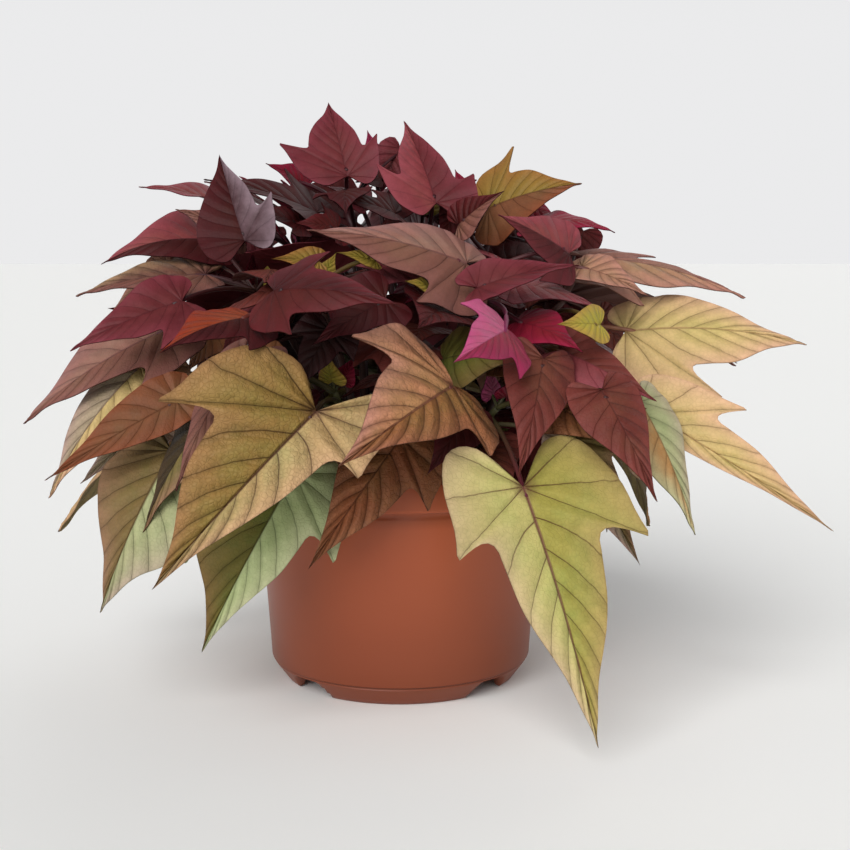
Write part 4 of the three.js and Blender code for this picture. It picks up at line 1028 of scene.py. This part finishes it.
def grow_small(leaf, place, start, tier):
    """A small blade on a plain stalk, unless the blade would meet another leaf."""
    axes = leaf_axes(leaf, place)
    blade = blade_mesh(leaf, axes, SPRIG_BLADE)
    shape = BVHTree.FromPolygons(
        [vert.co for vert in blade.vertices], [poly.vertices for poly in blade.polygons])
    centre, reach = axes["base"].lerp(axes["tip"], 0.5), 0.7 * axes["length"]
    for spot, far, other in taken:
        if (spot - centre).length < far + reach and shape.overlap(other):
            bpy.data.meshes.remove(blade)
            return []
    taken.append((centre, reach, shape))
    blade.materials.append(leaf_skin)
    end = axes["base"] + 0.1 * axes["length"] * axes["along"] - 0.7 * axes["up"]
    points = (start, start.lerp(end, 0.5) + Vector((0, 0, 0.12 * (end - start).length)), end)
    dark = paint(STEM_COLOUR[tier])
    return [blade, rod_mesh(
        SPRIG_STALK, lambda s: bezier(points, s), lambda s: SPRIG_STALK_RADIUS, dark, dark)]


def sprigs(vine, tier, count):
    """The small leaves along one stem, each where it meets no other leaf."""
    parts = []
    for k, at in enumerate(SPRIG_PLACES):
        start = bezier(vine["arch"], at)
        sort = SPRIG_SORTS[tier][(count + k) % len(SPRIG_SORTS[tier])]
        for attempt in range(SPRIG_TRIES):
            turn = GOLDEN_ANGLE * (len(SPRIG_PLACES) * count + k + attempt)
            leaf = draw_sprig(start, turn, sort)
            if leaf["tip"].xy.length > SPRIG_LIMIT[tier] or leaf["base"].z > SPRIG_CEILING:
                continue
            grown = grow_small(leaf, (0, 0, 0), start, tier)
            if grown:
                parts += grown
                break
    return parts


def young_leaves(vine, tier, rows):
    """Leaves set one by one in the gaps, on stalks from the nearest place of their stem."""
    starts, parts = [bezier(vine["arch"], 0.3 + 0.05 * k) for k in range(15)], []
    for base, tip, sort in rows:
        leaf = small_leaf(Vector(base), Vector(tip), FAR_POINT, sort)
        start = min(starts, key=lambda spot: (spot - leaf["base"]).length)
        for place in FRONT_PLACES:
            grown = grow_small(leaf, place, start, tier)
            if grown:
                parts += grown
                break
    return parts


def shoot_tip(vine, tier, count):
    """The first small leaves that unfold round the bud at a stem's end."""
    top, parts = vine["arch"][2], []
    for k in range(3):
        turn = 120 * k + GOLDEN_ANGLE * count
        base = top + on_circle(turn, 4, 5)
        tip = base + on_circle(turn, draw(5, 9), draw(11, 17))
        leaf = small_leaf(base, tip, on_circle(turn, FAR, FAR), SHOOT_SORTS[(count + k) % 3])
        parts += grow_small(leaf, (0, 0, 0), top, tier)
    return parts


def join(meshes):
    """One mesh of many."""
    objects = [add_object("part", mesh) for mesh in meshes]
    with bpy.context.temp_override(active_object=objects[0], selected_editable_objects=objects):
        bpy.ops.object.join()
    mesh = objects[0].data
    bpy.data.objects.remove(objects[0])
    return mesh


# Each solid's points about the pot's axis, and what space is taken: a middle, a reach
# and a shape for each solid, to which each small blade adds its own.
BUSH_MIDDLE, BUSH_REACH = Vector((0, 0, 150)), 300
solids = {name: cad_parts[name].data for name in vines}
solid_points = {
    name: [1000 * vert.co - POT_AXIS for vert in solid.vertices] for name, solid in solids.items()}
taken = [
    (BUSH_MIDDLE, BUSH_REACH, BVHTree.FromPolygons(
        solid_points[name], [poly.vertices for poly in solid.polygons]))
    for name, solid in solids.items()]
for count, (name, vine) in enumerate(vines.items()):
    tier = name.split("_")[1]
    known = KDTree(len(solid_points[name]))
    for i, point in enumerate(solid_points[name]):
        known.insert(point, i)
    known.balance()
    dark = paint(STEM_COLOUR[tier])
    parts = [rod_mesh(STEM, lambda s: stem_path(vine["arch"], s),
                      lambda s: STEM_RADIUS * (1.15 - 0.4 * s), dark, dark)]
    for leaf in vine["leaves"]:
        axes = find_axes(leaf, known)
        if axes is None:
            continue
        blade = blade_mesh(leaf, axes, BLADES[leaf["form"]])
        blade.materials.append(leaf_skin)
        curve = find_stalk(vine, leaf, axes, known)
        flushed = paint(SORTS[leaf["sorts"][0]][4])
        parts += [blade, rod_mesh(
            STALK, lambda s: bezier(curve, s),
            lambda s: STALK_RADIUS * (1.25 - 0.9 * s + 0.75 * s * s), dark, flushed)]
    parts += shoot_tip(vine, tier, count)
    parts += young_leaves(vine, tier, YOUNG_LEAVES.get(name, []))
    parts += sprigs(vine, tier, count)
    finish_piece(join(parts), name.replace("vine", "leafy_stem"), name)

# ---- studio ----
# A pale floor, a large soft key light from the front, a weaker one from behind and a
# bright room, seen from a little above.
CAMERA_PLACE = Vector((13.2, -700, 221))
CAMERA_PITCH = 7.16
FOCAL_PIXELS, FRAME_PIXELS = 1322, 850
# the floor's half width and how far it lies below the feet, in metres
FLOOR_SIZE, FLOOR_DROP = 60, 0.0002
# each light's strength, its spread in degrees, and the way that it shines
LIGHTS = [
    ("large soft key light", 2.45, 45, (0.34, 0.86, -0.66)),
    ("soft light behind", 0.7, 60, (-0.4, -0.8, -0.5)),
]
bpy.context.scene.view_settings.view_transform = "Standard"
camera = add_object("camera", bpy.data.cameras.new("camera"))
camera.data.sensor_width = 36
camera.data.lens = 36 * FOCAL_PIXELS / FRAME_PIXELS
camera.location = 0.001 * (POT_AXIS + CAMERA_PLACE)
camera.rotation_euler = (math.radians(90 - CAMERA_PITCH), 0, 0)
bpy.context.scene.camera = camera

floor_bm = bmesh.new()
bmesh.ops.create_grid(floor_bm, x_segments=1, y_segments=1, size=FLOOR_SIZE)
floor = add_object("floor", take_mesh(floor_bm, "floor"))
floor.location.z = -FLOOR_DROP
# Matt backdrop paper, nearly white.
paper, tree = new_material("pale backdrop paper")
skin = put(tree, "ShaderNodeBsdfPrincipled", {
    "Base Color": paint("#fbfbf9"), "Roughness": 0.9, "Specular IOR Level": 0.2})
put(tree, "ShaderNodeOutputMaterial", {"Surface": skin.outputs["BSDF"]})
floor.data.materials.append(paper)

world = bpy.data.worlds.new("bright room")
world.use_nodes = True
tree = world.node_tree
tree.nodes.clear()
# pale walls all round, and a dimmer ceiling
upwards = put(tree, "ShaderNodeSeparateXYZ", {
    "Vector": put(tree, "ShaderNodeTexCoord").outputs["Generated"]}).outputs["Z"]
dim = put(tree, "ShaderNodeMapRange", {
    "Value": upwards, "From Min": 0.15, "From Max": 0.7, "To Min": 0.86, "To Max": 0.2},
    interpolation_type="SMOOTHSTEP")
room = put(tree, "ShaderNodeBackground", {
    "Color": paint("#fbfbfc"), "Strength": dim.outputs["Result"]})
put(tree, "ShaderNodeOutputWorld", {"Surface": room.outputs["Background"]})
bpy.context.scene.world = world

for name, strength, spread, aim in LIGHTS:
    lamp = add_object(name, bpy.data.lights.new(name, "SUN"))
    lamp.data.energy, lamp.data.angle = strength, math.radians(spread)
    lamp.rotation_euler = Vector(aim).to_track_quat("-Z", "Y").to_euler()
